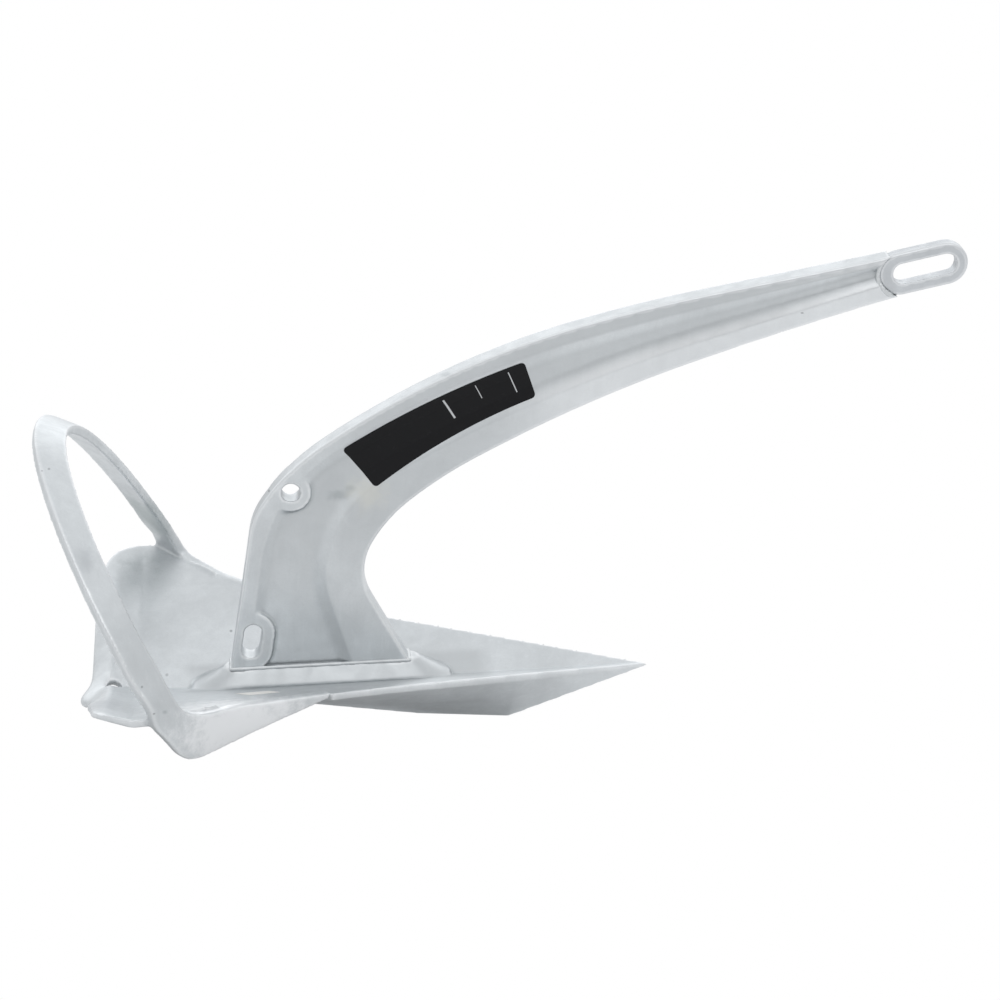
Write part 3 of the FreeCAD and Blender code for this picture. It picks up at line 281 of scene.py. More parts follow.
def zinc(name, base, roughness, grain_turn, marks_and_painted_light=(), shaped=True):
    """Dull hot-dip zinc: soft mottle, faint runs, painted highlights on edges, painted shade in
    creases and tight corners, and local marks, some of them painted light and shade.
    """
    material, tree, output = tree_of(name)
    shader = tree.nodes.new("ShaderNodeBsdfPrincipled")
    shader.inputs["Metallic"].default_value = METAL_SHARE
    place = row_place(tree)
    cloud = noise(tree, place, *CLOUD)
    mottle = noise(tree, place, *MOTTLE)
    fine = noise(tree, place, *FINE)
    ragged = noise(tree, place, *RAGGED)
    runs = noise(tree, stretched(tree, place, RUN_STRETCH, grain_turn), *RUNS)

    colour = mixed(tree, ranged(tree, cloud, *CLOUD_RANGE), times(base, CLOUD_DARK),
                   times(base, CLOUD_LIGHT))
    # Each layer: its texture, where it starts and is full, its strength and its shade of the base
    layers = (
        (mottle, 0.30, 0.72, 0.28, 0.87),
        (runs, 0.50, 0.78, 0.25, 1.16),
        (runs, 0.46, 0.24, 0.22, 0.80),
        (fine, 0.40, 0.72, 0.20, 0.84),
    )
    for texture, start, end, strength, shade in layers:
        cover = ranged(tree, texture, start, end, 0.0, strength)
        colour = mixed(tree, cover, colour, times(base, shade))
    if shaped:
        colour = shaped_colour(tree, colour, base)

    # Painted shade: grey in tight corners, by the occlusion
    corner = tree.nodes.new("ShaderNodeAmbientOcclusion")
    corner.inputs["Distance"].default_value = CORNER_REACH
    corner.samples = CORNER_SAMPLES
    shadow = ranged(tree, corner.outputs["AO"], *CORNER_OPEN, CORNER_STRENGTH, 0.0)
    colour = mixed(tree, shadow, colour, CORNER_SHADE_GREY)

    for centre, radii, tint, strength, soft in marks_and_painted_light:
        reach = [radius / MM_PER_M for radius in radii]
        mask = spot(tree, place, centre, reach, ragged, soft)
        colour = mixed(tree, computed(tree, "MULTIPLY", mask, strength), colour, tint)
    link(tree, colour, shader.inputs["Base Color"])
    rough = ranged(tree, mottle, *ROUGH_SPAN, roughness - ROUGH_LESS, roughness + ROUGH_MORE)
    link(tree, rough, shader.inputs["Roughness"])

    # Each relief: its texture, its strength and its depth in metres
    reliefs = (
        (cloud, 0.10, 0.008),
        (mottle, 0.14, 0.0014),
        (runs, 0.08, 0.0007),
        (fine, 0.10, 0.0003),
    )
    normal = None
    for texture, strength, depth in reliefs:
        normal = bump(tree, texture, strength, depth, normal)
    link(tree, normal, shader.inputs["Normal"])
    link(tree, shader.outputs["BSDF"], output.inputs["Surface"])
    return material


# Label film and sticker paper


FILM_BLACK = (0.008, 0.008, 0.009)
FILM_DUST = (0.030, 0.031, 0.033)
SILVER = (0.55, 0.56, 0.57)
FILM_GLOSS = 0.15
PAPER_DULL = (0.79, 0.78, 0.75)
PAPER_PALE = (0.85, 0.84, 0.82)
PAPER_FIBRE = (0.66, 0.63, 0.58)
PAPER_ROUGHNESS = 0.8

# Noise textures, as for zinc
DUST = (300.0, 5.0, 0.7)
WAVE = (22.0, 2.0)
SCRATCH = (1.0, 2.0)
SCRATCH_STRETCH = (60.0, 60.0, 900.0)
SCRATCH_TURN = (0.0, 0.6, 0.0)
FIBRE = (700.0, 5.0, 0.7)
BLOTCH = (80.0, 3.0)

# Ranges of these textures and what they become: a mix, or the film's roughness
DUST_RANGE = (0.55, 0.80, 0.0, 0.30)
SCRATCH_RANGE = (0.55, 0.75, 0.34, 0.48)
FIBRE_RANGE = (0.5, 0.8, 0.0, 0.25)
BLOTCH_RANGE = (0.35, 0.7, 0.0, 1.0)

# Reliefs: strength and depth in metres
WAVE_RELIEF = (0.05, 0.0015)
FIBRE_RELIEF = (0.2, 0.0004)

# Silver dividers: upper end and lower end as forward and up, then half the width
DIVIDERS = [
    ((320.1, 316.2), (332.1, 299.5), 0.9),
    ((347.9, 331.8), (355.1, 319.7), 0.4),
    ((376.7, 345.6), (386.3, 327.0), 0.5),
]

# A divider fades over this span of its half width, and over this length at its ends, in metres
DIVIDER_SIDE = (0.85, 1.15)
DIVIDER_END = 0.0003


def divider_mask(tree, place, start, end, half_width):
    """Mask of one silver line on the label, between two points of the side view."""
    first = at(start[0], -WEB_HALF, start[1])
    last = at(end[0], -WEB_HALF, end[1])
    run = last - first
    along = run.normalized()
    aside = along.cross(LEAN @ Vector((0.0, 1.0, 0.0)))
    offset = vector_math(tree, "SUBTRACT", place, first).outputs["Vector"]
    travel = vector_math(tree, "DOT_PRODUCT", offset, along).outputs["Value"]
    distance = vector_math(tree, "DOT_PRODUCT", offset, aside).outputs["Value"]
    half = half_width / MM_PER_M
    core, fade = DIVIDER_SIDE
    thin = ranged(tree, computed(tree, "ABSOLUTE", distance), half * core, half * fade, 1.0, 0.0)
    middle = run.length / 2.0
    from_middle = computed(tree, "ABSOLUTE", computed(tree, "SUBTRACT", travel, middle))
    inside = ranged(tree, from_middle, middle, middle + DIVIDER_END, 1.0, 0.0)
    return computed(tree, "MULTIPLY", thin, inside)


def film():
    """Black label film: satin, bare, with thin silver dividing lines and light dust."""
    material, tree, output = tree_of("label_film")
    shader = tree.nodes.new("ShaderNodeBsdfPrincipled")
    shader.inputs["Specular IOR Level"].default_value = FILM_GLOSS
    place = row_place(tree)
    dust = noise(tree, place, *DUST)
    wave = noise(tree, place, *WAVE)
    scratch = noise(tree, stretched(tree, place, SCRATCH_STRETCH, SCRATCH_TURN), *SCRATCH)
    colour = mixed(tree, ranged(tree, dust, *DUST_RANGE), FILM_BLACK, FILM_DUST)
    for start, end, half_width in DIVIDERS:
        colour = mixed(tree, divider_mask(tree, place, start, end, half_width), colour, SILVER)
    link(tree, colour, shader.inputs["Base Color"])
    link(tree, ranged(tree, scratch, *SCRATCH_RANGE), shader.inputs["Roughness"])
    link(tree, bump(tree, wave, *WAVE_RELIEF), shader.inputs["Normal"])
    link(tree, shader.outputs["BSDF"], output.inputs["Surface"])
    return material


def paper():
    """Pale paper with soft blotches and browner fibres."""
    material, tree, output = tree_of("sticker_paper")
    shader = tree.nodes.new("ShaderNodeBsdfPrincipled")
    shader.inputs["Roughness"].default_value = PAPER_ROUGHNESS
    place = row_place(tree)
    fibre = noise(tree, place, *FIBRE)
    blotch = noise(tree, place, *BLOTCH)
    colour = mixed(tree, ranged(tree, blotch, *BLOTCH_RANGE), PAPER_DULL, PAPER_PALE)
    colour = mixed(tree, ranged(tree, fibre, *FIBRE_RANGE), colour, PAPER_FIBRE)
    link(tree, colour, shader.inputs["Base Color"])
    link(tree, bump(tree, fibre, *FIBRE_RELIEF), shader.inputs["Normal"])
    link(tree, shader.outputs["BSDF"], output.inputs["Surface"])
    return material


# Softened steel


# Vertices this near each other are joined, in metres
WELD_REACH = 0.00001

# Bevel before the even mesh: width in cells, and the least angle that gets one
BEVEL_SHARE = 0.6
BEVEL_SEGMENTS = 2
BEVEL_ANGLE = 40.0

# Smoothing: how far each pass moves a vertex, in how many steps a weight comes, and how many
# times the bend of the surface is averaged over the neighbours
SMOOTH_FACTOR = 0.5
WEIGHT_LEVELS = 8
BEND_SPREAD = 8


def dress(piece, material):
    """Give a piece its finish."""
    piece.data.materials.clear()
    piece.data.materials.append(material)


def shown(name, data):
    """New object in the scene."""
    item = bpy.data.objects.new(name, data)
    bpy.context.scene.collection.objects.link(item)
    return item


def copy_of(sources):
    """One mesh that holds copies of the given CAD nodes, each in its own place."""
    joined = bpy.data.meshes.new("joined")
    points, faces = [], []
    for source in sources:
        start = len(points)
        points.extend(tuple(vertex.co) for vertex in nodes[source].data.vertices)
        faces.extend([tuple(index + start for index in face.vertices)
                      for face in nodes[source].data.polygons])
    joined.from_pydata(points, [], faces)
    return joined


def even_mesh(name, sources, cell):
    """Closed mesh of even cells over the given CAD nodes, with its sharp edges bevelled."""
    rough = shown(name + "_rough", copy_of(sources))
    weld = rough.modifiers.new("join", "WELD")
    weld.merge_threshold = WELD_REACH
    round_off = rough.modifiers.new("round_off", "BEVEL")
    round_off.width = cell * BEVEL_SHARE
    round_off.segments = BEVEL_SEGMENTS
    round_off.limit_method = "ANGLE"
    round_off.angle_limit = math.radians(BEVEL_ANGLE)
    even = rough.modifiers.new("even", "REMESH")
    even.mode = "VOXEL"
    even.voxel_size = cell
    graph = bpy.context.evaluated_depsgraph_get()
    mesh = bpy.data.meshes.new_from_object(rough.evaluated_get(graph))
    bpy.data.objects.remove(rough)
    mesh.name = name
    mesh.shade_smooth()
    return mesh


def graded(piece, name, weights):
    """Vertex group whose weights come in a few even steps."""
    group = piece.vertex_groups.new(name=name)
    for level in range(1, WEIGHT_LEVELS + 1):
        members = [index for index, weight in enumerate(weights)
                   if round(weight * WEIGHT_LEVELS) == level]
        if members:
            group.add(members, level / WEIGHT_LEVELS, "REPLACE")


def smoothed(piece, name, passes, weights=None):
    """Smooth modifier over the whole piece, or as strong at each vertex as its weight."""
    modifier = piece.modifiers.new(name, "SMOOTH")
    modifier.factor = SMOOTH_FACTOR
    modifier.iterations = passes
    if weights:
        graded(piece, name, weights)
        modifier.vertex_group = name


def kept(mesh, name, values):
    """Keep a number at each vertex of a mesh, for its material."""
    mesh.attributes.new(name, "FLOAT", "POINT").data.foreach_set("value", values)


def rows_of(items, name, width, kind=numpy.float64):
    """Array with a row for each of many mesh items, which holds one of their properties."""
    values = numpy.empty(len(items) * width, dtype=kind)
    items.foreach_get(name, values)
    return values.reshape(-1, width)


def bend_of(piece, cell):
    """How sharply the finished surface bends at each vertex, per mm, convex above zero."""
    graph = bpy.context.evaluated_depsgraph_get()
    shape = piece.evaluated_get(graph).data
    count = len(shape.vertices)
    places = rows_of(shape.vertices, "co", 3)
    normals = rows_of(shape.vertex_normals, "vector", 3)
    first, second = rows_of(shape.edges, "vertices", 2, numpy.int32).T
    neighbours = numpy.maximum(numpy.bincount(first, minlength=count)
                               + numpy.bincount(second, minlength=count), 1)

    def spread(values):
        """Mean of a value over the neighbours of each vertex."""
        return (numpy.bincount(first, values[second], count)
                + numpy.bincount(second, values[first], count)) / neighbours

    # A vertex stands out from the middle of its neighbours by bend * cell * cell / 4
    middle = numpy.stack([spread(places[:, axis]) for axis in range(3)], axis=1)
    stands_out = ((places - middle) * normals).sum(axis=1)
    bend = stands_out * 4.0 / cell ** 2 / MM_PER_M
    for _ in range(BEND_SPREAD):
        bend = 0.5 * bend + 0.5 * spread(bend)
    return bend


def nowhere(point):
    """Share of 0 at every point."""
    return 0.0


def softened(name, sources, cell, passes, material, zones=(), painted_shade=nowhere, painted_light=nowhere,
             loose=None):
    """Evenly meshed copy of CAD nodes with rounded edges, standing for those nodes.

    The zones are smoothed further, each by its own weight. The last passes go over the whole
    piece, weakened by the weight in loose.
    """
    mesh = even_mesh(name, sources, cell)
    piece = shown(name, mesh)
    points = [own(vertex.co) for vertex in mesh.vertices]
    for weight_at, zone_passes in zones:
        weights = [weight_at(point) for point in points]
        smoothed(piece, weight_at.__name__, zone_passes, weights)
    smoothed(piece, "soft", passes, [loose(point) for point in points] if loose else None)
    kept(mesh, "bend", bend_of(piece, cell))
    # Shares of painted shade and painted light at each vertex
    kept(mesh, "painted_shade", [painted_shade(point) for point in points])
    kept(mesh, "painted_light", [painted_light(point) for point in points])
    dress(piece, material)
    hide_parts(*sources)
    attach(piece, "root")


# Weights and shades over the steel

# Each span gives where a weight starts and ends its way between 0 and 1, in millimetres of the
# anchor frame. A depth is measured from the middle plane of the anchor.


def rise(value, span):
    """Smooth rise from 0 to 1 over a span."""
    low, high = span
    share = min(max((value - low) / (high - low), 0.0), 1.0)
    return share * share * (3.0 - 2.0 * share)


def fall(value, span):
    """Smooth fall from 1 to 0 over a span."""
    return 1.0 - rise(value, span)


def aside_of(point, centre):
    """Distance from a centre in the side view."""
    return math.hypot(point.x - centre.x, point.z - centre.z)


HOLLOW_MOUTH = (RIM_HALF - 1.6, RIM_HALF - 0.6)
HOLLOW_FLOOR = (WEB_HALF - 1.2, WEB_HALF - 0.4)
HOLLOW_BOTTOM = (48.0, 60.0)
HOLLOW_FADE = (300.0, 390.0)
CROWN_BOSS = (15.0, 21.0)
SLOT_BOSS = (-4.0, 4.0)
SLOT_BOSS_AHEAD = 24.0
SLOT_BOSS_ABOVE = 30.0


def web_hollow(point):
    """Weight of the hollow of the shank's web, clear of its holes and crisper further up."""
    depth = abs(point.y)
    weight = fall(depth, HOLLOW_MOUTH) * rise(depth, HOLLOW_FLOOR) * rise(point.z, HOLLOW_BOTTOM)
    weight *= rise(aside_of(point, CROWN_HOLE), CROWN_BOSS)
    beyond_slot = max(point.x - FOOT_SLOT.x - SLOT_BOSS_AHEAD,
                      point.z - FOOT_SLOT.z - SLOT_BOSS_ABOVE)
    return weight * rise(beyond_slot, SLOT_BOSS) * fall(point.x, HOLLOW_FADE)


ARM_START = (120.0, 260.0)
MIDDLE_SPAN = (-2.0, 2.0)


def below_hollow(point):
    """How far a point lies below the middle of the arm's hollow, and on the arm proper, 0 to 1."""
    forward = point.x - SHANK_REAR.x
    up = point.z - SHANK_REAR.z
    for (left, low), (right, high) in zip(HOLLOW_MIDDLE, HOLLOW_MIDDLE[1:]):
        if left <= forward <= right:
            middle = low + (high - low) * (forward - left) / (right - left)
            return rise(middle - up, MIDDLE_SPAN), rise(forward, ARM_START)
    return 0.0, 0.0


# Where the painted shade lies on the shank, and how strong it is
FLOOR_DEPTH = (WEB_HALF + 0.3, WEB_HALF + 2.4)
FLOOR_HEIGHT = (90.0, 230.0)
FLOOR_SHADE_SHARE = 0.85
RIM_DEPTH = (RIM_HALF - 1.4, RIM_HALF - 0.4)
WAIST_HEIGHT = (130.0, 190.0)
WAIST_REAR = (80.0, 110.0)
WAIST_FRONT = (190.0, 300.0)
WAIST_SHADE_SHARE = 0.8


def arm_shade(point):
    """Share of painted shade: the hollow's floor, less near the foot, and the rim above it."""
    depth = abs(point.y)
    forward = point.x - SHANK_REAR.x
    below, along = below_hollow(point)
    floor = fall(depth, FLOOR_DEPTH) * rise(point.z, FLOOR_HEIGHT)
    rim = rise(depth, RIM_DEPTH)
    waist = WAIST_SHADE_SHARE * rim * rise(point.z, WAIST_HEIGHT) * rise(forward, WAIST_REAR)
    waist *= fall(forward, WAIST_FRONT)
    return max(FLOOR_SHADE_SHARE * floor, rim * (1.0 - below) * along, waist)


# Where the painted light lies on the shank, and how strong it is
WALL_DEPTH = (WEB_HALF + 0.6, RIM_HALF - 0.9)
WALL_SHINE = 0.9
LOW_RIM_DEPTH = (RIM_HALF - 0.8, RIM_HALF - 0.2)
LOW_RIM_LOSS = 0.4
SHINE_START = (200.0, 320.0)


def arm_shine(point):
    """Share of painted light: the hollow's lower wall, and less on the rim below it."""
    depth = abs(point.y)
    below, along = below_hollow(point)
    shine = WALL_SHINE * rise(depth, WALL_DEPTH) - LOW_RIM_LOSS * rise(depth, LOW_RIM_DEPTH)
    return shine * below * along * rise(point.x - SHANK_REAR.x, SHINE_START)


# Where the painted shade lies on the foot's fillet, and how strong it is
FILLET_REAR = (92.0, 108.0)
FILLET_FRONT = (370.0, 390.0)
FILLET_SIDE = (24.0, 34.0)
FILLET_BOTTOM = (20.0, 28.0)
FILLET_SHADE_SHARE = 0.9


def weld_shade(point):
    """Share of painted shade on the fillet round the shank's foot."""
    along = rise(point.x, FILLET_REAR) * fall(point.x, FILLET_FRONT)
    across = fall(abs(point.y), FILLET_SIDE)
    return FILLET_SHADE_SHARE * along * across * rise(point.z, FILLET_BOTTOM)


FIRM_FOOT = (46.0, 62.0)
FIRM_EYE = (EYE_RADIUS + 2.0, EYE_RADIUS + 7.0)


def arm_between(point):
    """Weight of the shank between its ends, which stay firm in the foot weld and at the eye."""
    return rise(point.z, FIRM_FOOT) * rise(aside_of(point, EYE_REAR), FIRM_EYE)


ROUND_FOOT_REAR = (95.0, 115.0)
ROUND_FOOT_FRONT = (375.0, 395.0)
ROUND_FOOT_SIDE = (38.0, 46.0)
WELD_TOP = (33.0, 41.0)
WELD_TOP_HOLD = 0.85
FILLET_FOOT_BOTTOM = (16.0, 22.0)
FILLET_FOOT_TOP = (32.0, 40.0)


def near_foot(point):
    """Weight of what lies round the shank's foot."""
    along = rise(point.x, ROUND_FOOT_REAR) * fall(point.x, ROUND_FOOT_FRONT)
    return along * fall(abs(point.y), ROUND_FOOT_SIDE)


def clear_of_weld_top(point):
    """Weight that keeps the thin upper edge of the foot weld against the shank."""
    return 1.0 - WELD_TOP_HOLD * near_foot(point) * rise(point.z, WELD_TOP)


def fillet_foot(point):
    """Weight of the strip where the foot's fillet meets the blade."""
    return near_foot(point) * rise(point.z, FILLET_FOOT_BOTTOM) * fall(point.z, FILLET_FOOT_TOP)


LIP_FRONT = (38.0, 52.0)
LIP_TOP = (110.0, 130.0)
HEEL_HOLE_X = 35.0
HEEL_HOLE_EDGE = (12.0, 18.0)


def heel_lip(point):
    """Weight of the blade's heel lip, away from its hole."""
    weight = fall(point.x, LIP_FRONT) * fall(point.z, LIP_TOP)
    return weight * rise(math.hypot(point.x - HEEL_HOLE_X, point.y), HEEL_HOLE_EDGE)


# Finishes of the pieces


ZINC = (0.66, 0.685, 0.70)
EYE_BASE = (0.60, 0.62, 0.64)
WELD_BASE = (0.68, 0.70, 0.71)
FAR_LIMB_SHADE = (0.44, 0.48, 0.48)
SKID_TINT = (0.50, 0.52, 0.54)
LOW_LIMB_TINT = (0.46, 0.48, 0.50)

# Marks, and patches of painted light and shade: centre in metres of the row frame, radii in mm,
# tint, strength and softness of the edge
SHANK_MARKS = [
    ((-0.1394, -0.0317, 0.2161), (16.0, 10.0, 8.0), DARK_STAIN_AND_SHADE, 0.45, 0.95),
    ((-0.1280, -0.0330, 0.2230), (8.0, 8.0, 4.5), DARK_STAIN_AND_SHADE, 0.40, 0.95),
    ((-0.1130, -0.0360, 0.2200), (26.0, 12.0, 26.0), YELLOW_TINT, 0.45, 0.95),
    ((-0.0489, -0.0522, 0.3333), (12.0, 12.0, 3.0), DARK_STAIN_AND_SHADE, 0.35, 0.9),
    ((-0.2019, -0.0265, 0.2169), (2.2, 6.0, 1.6), SOOT, 0.6, 0.8),
    ((0.2684, -0.0743, 0.4031), (2.2, 6.0, 1.0), SOOT, 0.6, 0.8),
    ((0.3350, -0.0782, 0.4346), (2.0, 5.0, 2.5), SOOT, 0.6, 0.8),
]
HOOP_MARKS_AND_PAINTED_LIGHT = [
    # Painted shade over the far limb of the hoop
    ((-0.3150, 0.1680, 0.1500), (40.0, 26.0, 65.0), FAR_LIMB_SHADE, 0.75, 0.9),
    ((-0.3500, -0.1150, 0.0340), (45.0, 60.0, 22.0), SKID_TINT, 0.7, 0.9),
    # Painted light: a large pale patch on the near skid and the foot of the hoop
    ((-0.2200, -0.1400, 0.0240), (110.0, 70.0, 60.0), PALE_ZINC_AND_HIGHLIGHT, 1.0, 0.7),
    ((-0.2986, -0.1984, 0.0499), (1.8, 4.0, 1.4), SOOT, 0.6, 0.8),
    ((-0.2893, -0.1899, 0.0497), (4.0, 5.0, 3.0), DARK_STAIN_AND_SHADE, 0.45, 0.8),
    ((-0.3096, -0.1959, 0.0728), (1.4, 4.0, 1.4), SOOT, 0.5, 0.8),
    ((-0.4029, -0.1035, 0.2420), (1.4, 4.0, 1.1), SOOT, 0.4, 0.8),
    ((-0.3971, -0.0977, 0.2430), (1.4, 4.0, 1.1), SOOT, 0.4, 0.8),
    ((-0.3619, -0.1610, 0.1754), (12.0, 20.0, 20.0), LOW_LIMB_TINT, 0.55, 0.95),
]
SCOOP_MARKS = [
    ((-0.2298, 0.0793, 0.0618), (2.0, 4.0, 2.0), SOOT, 0.55, 0.8),
    ((-0.2298, 0.0793, 0.0660), (2.5, 4.0, 2.0), PALE_ZINC_AND_HIGHLIGHT, 0.6, 0.8),
    ((-0.2889, 0.0306, 0.0291), (2.0, 4.0, 2.0), SOOT, 0.35, 0.8),
]

scoop_zinc = zinc("zinc_scoop", ZINC, roughness=0.38, grain_turn=(0.5, 0.3, 0.0),
                  marks_and_painted_light=SCOOP_MARKS + HOOP_MARKS_AND_PAINTED_LIGHT)
shank_zinc = zinc("zinc_shank", ZINC, roughness=0.34, grain_turn=(0.0, 0.9, 0.0),
                  marks_and_painted_light=SHANK_MARKS)
eye_zinc = zinc("zinc_eye", EYE_BASE, roughness=0.40, grain_turn=(0.0, 1.2, 0.0))
weld_zinc = zinc("zinc_weld", WELD_BASE, roughness=0.34, grain_turn=(0.0, 0.0, 0.0),
                 shaped=False)

softened("scoop_with_hoop",
         ["fluke", "roll_bar", "bar_weld_left", "bar_weld_right", "shank_foot_weld"],
         cell=0.0014, passes=11, material=scoop_zinc,
         zones=[(fillet_foot, 14), (heel_lip, 50)], painted_shade=weld_shade, loose=clear_of_weld_top)
softened("shank_arm", ["shank"], cell=0.0011, passes=5, material=shank_zinc,
         zones=[(web_hollow, 48)], painted_shade=arm_shade, painted_light=arm_shine, loose=arm_between)
softened("shackle_plate", ["shackle_eye"], cell=0.0008, passes=4, material=eye_zinc)
dress(nodes["label"], film())
dress(nodes["sticker"], paper())

# Weld beads


# Beads: distance between rings in mm, the fewest steps, sides of a ring, how blunt the ends are,
# and a slow sway of the thickness, as a share of it and in radians for each mm
BEAD_STEP = 0.8
BEAD_LEAST_STEPS = 8
BEAD_SIDES = 12
BEAD_BLUNT = 0.05
SWAY = 0.08
SWAY_PER_MM = 0.37


def evenly_spaced(path, spacing):
    """Points at even distances along straight runs, and the length of the whole."""
    runs = [after - before for before, after in zip(path, path[1:])]
    total = sum(run.length for run in runs)
    count = max(int(total / spacing), BEAD_LEAST_STEPS)
    places = []
    travelled = 0.0
    current = 0
    for number in range(count + 1):
        target = total * number / count
        while current < len(runs) - 1 and travelled + runs[current].length < target:
            travelled += runs[current].length
            current += 1
        share = min((target - travelled) / runs[current].length, 1.0)
        places.append(path[current] + runs[current] * share)
    return places, total


def tube_faces(rings, sides):
    """Faces of a tube with closed ends, from rings of vertices."""
    faces = []
    for ring in range(rings - 1):
        low = ring * sides
        high = low + sides
        for side in range(sides):
            following = (side + 1) % sides
            faces.append((low + side, low + following, high + following, high + side))
    last = (rings - 1) * sides
    faces.append(tuple(range(sides - 1, -1, -1)))
    faces.append(tuple(last + side for side in range(sides)))
    return faces


def bead(name, path, radius, pitch, ripple, across_path):
    """Rippled weld bead along a path of anchor-frame points, tapered at its ends.

    Its ripples follow each other at the pitch, and across_path is any direction across it.
    """
    centres, total = evenly_spaced(path, BEAD_STEP)
    count = len(centres) - 1
    points = []
    for number, centre in enumerate(centres):
        before = centres[max(number - 1, 0)]
        after = centres[min(number + 1, count)]
        along = (after - before).normalized()
        across = along.cross(across_path).normalized()
        outward = across.cross(along)
        travel = total * number / count
        to_end = min(travel, total - travel)
        size = radius * min(1.0, math.sqrt(to_end / (2.0 * radius) + BEAD_BLUNT))
        scallop = (travel / pitch) % 1.0 - 0.5
        size *= 1.0 + ripple * scallop + SWAY * math.sin(travel * SWAY_PER_MM)
        for side in range(BEAD_SIDES):
            turn = 2.0 * math.pi * side / BEAD_SIDES
            place = centre + (across * math.cos(turn) + outward * math.sin(turn)) * size
            points.append(tuple(at(*place)))
    mesh = bpy.data.meshes.new(name)
    mesh.from_pydata(points, [], tube_faces(len(centres), BEAD_SIDES))
    mesh.shade_smooth()
    piece = shown(name, mesh)
    dress(piece, weld_zinc)
    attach(piece, "root")


# The bead round the shackle plate: its arc in degrees, its distance out from the plate's edge
# and from the middle plane, and how both change over its lower part
EYE_ARC_START = 138.0
EYE_ARC_STEP = 5.0
EYE_ARC_POINTS = 25
EYE_LOW_PART = (200.0, 222.0)
EYE_BEAD_OUT = 1.2
EYE_BEAD_TUCK = 0.9
EYE_BEAD_DEPTH = 7.6
EYE_BEAD_DEEPER = 2.8
EYE_BEAD_RADIUS = 2.3
EYE_BEAD_PITCH = 4.0
EYE_BEAD_RIPPLE = 0.14

# The bead along the top of the foot weld; it ends past its start, so that the ring closes
FOOT_BEAD_PAST = 3.0
FOOT_BEAD_RADIUS = 1.9
FOOT_BEAD_PITCH = 7.0
FOOT_BEAD_RIPPLE = 0.06


def eye_bead(name, side):
    """Bead round the rear of the shackle plate, on one face of the shank."""
    path = []
    for number in range(EYE_ARC_POINTS):
        turn = math.radians(EYE_ARC_START + number * EYE_ARC_STEP)
        low = rise(math.degrees(turn), EYE_LOW_PART)
        reach = EYE_RADIUS + EYE_BEAD_OUT - EYE_BEAD_TUCK * low
        depth = EYE_BEAD_DEPTH + EYE_BEAD_DEEPER * low
        path.append(Vector((EYE_REAR.x + reach * math.cos(turn), side * depth,
                            EYE_REAR.z + reach * math.sin(turn))))
    bead(name, path, EYE_BEAD_RADIUS, EYE_BEAD_PITCH, EYE_BEAD_RIPPLE, Vector((0.0, 1.0, 0.0)))


def foot_bead():
    """Thin bead where the foot weld's upper edge meets the shank, all the way round."""
    around = [(FOOT_REAR, 0.0), (FOOT_REAR, -RIM_HALF), (FOOT_FRONT, -RIM_HALF),
              (FOOT_FRONT, RIM_HALF), (FOOT_REAR, RIM_HALF), (FOOT_REAR, -FOOT_BEAD_PAST)]
    path = [corner + Vector((0.0, side, 0.0)) for corner, side in around]
    bead("foot_bead", path, FOOT_BEAD_RADIUS, FOOT_BEAD_PITCH, FOOT_BEAD_RIPPLE,
         Vector((0.0, 0.0, 1.0)))


eye_bead("eye_bead_near", -1.0)
eye_bead("eye_bead_far", 1.0)
foot_bead()

# Stage, light and camera


WHITE = (1.0, 1.0, 1.0, 1.0)
FLOOR_GREY = (0.86, 0.86, 0.86, 1.0)
FLOOR_REACH = 6.0
FLOOR_DROP = 0.0005

# Share of plain white that gloss and glass see of the floor and the sky
GLOSS_SHARE = 0.12

# Strengths of the dome: low and high all round, and what is added behind and before the anchor
DOME_COLOUR = (0.97, 0.985, 1.0, 1.0)
DOME_SIDE = 0.72
DOME_TOP = 1.00
DOME_BEHIND = 0.74
DOME_BEFORE_LOW = -0.24
DOME_BEFORE_HIGH = 0.08

# Where these change, as the height or the way back of a direction of length 1
SKY_RISE = (0.1, 0.8)
BEHIND_SPAN = (0.35, 0.85)
BEHIND_BOTTOM = (0.10, 0.32)
BEHIND_TOP = (0.55, 0.80)
BEFORE_SPAN = (-0.30, -0.90)
BEFORE_RISE = (0.05, 0.36)

# Camera: focal length and sensor in mm, how far it sees in metres, angles about X, Y and Z in
# degrees, and place in metres
LENS = 108.0
SENSOR = 36.0
CLIP_END = 50.0
CAMERA_ANGLES = (79.95102, -2.84441, -5.73716)
CAMERA_PLACE = Vector((-0.284863, -2.716888, 0.69427))


def white_rays(tree):
    """Share of a ray that sees plain white: the camera's rays wholly, gloss and glass in part."""
    path = tree.nodes.new("ShaderNodeLightPath")
    shiny = computed(tree, "MAXIMUM", path.outputs["Is Glossy Ray"],
                     path.outputs["Is Transmission Ray"])
    return computed(tree, "MAXIMUM", path.outputs["Is Camera Ray"],
                    computed(tree, "MULTIPLY", shiny, GLOSS_SHARE))


def lit_or_white(tree, lit, white, output):
    """Join what the light sees and the plain white, by the share of each ray."""
    either = tree.nodes.new("ShaderNodeMixShader")
    link(tree, white_rays(tree), either.inputs["Fac"])
    link(tree, lit, either.inputs[1])
    link(tree, white, either.inputs[2])
    link(tree, either.outputs["Shader"], output.inputs["Surface"])


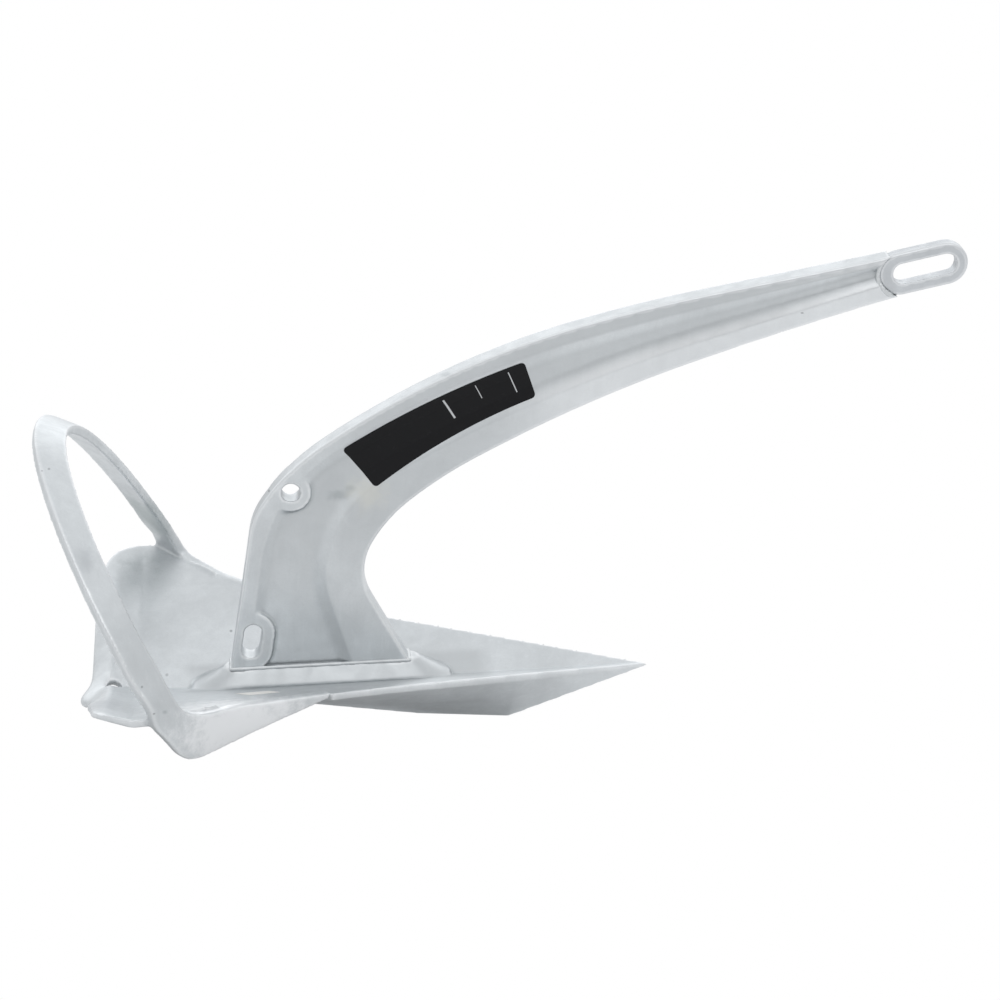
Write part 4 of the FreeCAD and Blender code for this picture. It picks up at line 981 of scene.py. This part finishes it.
def white_stage():
    """Large pale floor: plain white to the camera, in part to gloss, and matt to the rest."""
    mesh = bpy.data.meshes.new("floor")
    corners = [(x * FLOOR_REACH, y * FLOOR_REACH, -FLOOR_DROP)
               for x, y in ((-1, -1), (1, -1), (1, 1), (-1, 1))]
    mesh.from_pydata(corners, [], [(0, 1, 2, 3)])
    material, tree, output = tree_of("white_floor")
    matt = tree.nodes.new("ShaderNodeBsdfDiffuse")
    matt.inputs["Color"].default_value = FLOOR_GREY
    glow = tree.nodes.new("ShaderNodeEmission")
    glow.inputs["Color"].default_value = WHITE
    lit_or_white(tree, matt.outputs["BSDF"], glow.outputs["Emission"], output)
    mesh.materials.append(material)
    shown("floor", mesh)


def dome_level(tree):
    """Strength of the studio dome by direction."""
    place = tree.nodes.new("ShaderNodeTexCoord").outputs["Generated"]
    split = tree.nodes.new("ShaderNodeSeparateXYZ")
    link(tree, place, split.inputs["Vector"])
    away, up = split.outputs["Y"], split.outputs["Z"]
    height = ranged(tree, up, *SKY_RISE, DOME_SIDE, DOME_TOP)
    behind = ranged(tree, away, *BEHIND_SPAN, 0.0, DOME_BEHIND)
    band = computed(tree, "MULTIPLY", ranged(tree, up, *BEHIND_BOTTOM, 0.0, 1.0),
                    ranged(tree, up, *BEHIND_TOP, 1.0, 0.0))
    rising = ranged(tree, up, *BEFORE_RISE, DOME_BEFORE_LOW, DOME_BEFORE_HIGH)
    before = computed(tree, "MULTIPLY", rising, ranged(tree, away, *BEFORE_SPAN, 0.0, 1.0))
    level = computed(tree, "ADD", height, computed(tree, "MULTIPLY", behind, band))
    return computed(tree, "ADD", level, before)


def sky():
    """Studio dome: plain white to the camera, in part to gloss, and soft light to the rest."""
    world = bpy.data.worlds.new("studio")
    bpy.context.scene.world = world
    world.use_nodes = True
    tree = world.node_tree
    tree.nodes.clear()
    output = tree.nodes.new("ShaderNodeOutputWorld")
    dome = tree.nodes.new("ShaderNodeBackground")
    dome.inputs["Color"].default_value = DOME_COLOUR
    link(tree, dome_level(tree), dome.inputs["Strength"])
    plain = tree.nodes.new("ShaderNodeBackground")
    plain.inputs["Color"].default_value = WHITE
    lit_or_white(tree, dome.outputs["Background"], plain.outputs["Background"], output)


def softbox(name, place, target, width, height, power):
    """Area light that faces a point."""
    light = bpy.data.lights.new(name, "AREA")
    light.shape = "RECTANGLE"
    light.size = width
    light.size_y = height
    light.energy = power
    lamp = shown(name, light)
    lamp.location = place
    facing = Vector(target) - Vector(place)
    lamp.rotation_euler = facing.to_track_quat("-Z", "Y").to_euler()


def camera():
    """Camera at the photograph's place; its up direction leans a little."""
    lens = bpy.data.cameras.new("camera")
    lens.lens = LENS
    lens.sensor_width = SENSOR
    lens.clip_end = CLIP_END
    eye = shown("camera", lens)
    turn = Euler([math.radians(angle) for angle in CAMERA_ANGLES]).to_matrix().to_4x4()
    eye.matrix_world = Matrix.Translation(CAMERA_PLACE) @ turn
    bpy.context.scene.camera = eye


white_stage()
sky()
softbox("front_top", place=(0.5, -2.4, 2.3), target=(0.1, 0.0, 0.1), width=3.2, height=1.6,
        power=8.0)
camera()
bpy.context.scene.view_settings.view_transform = "Standard"
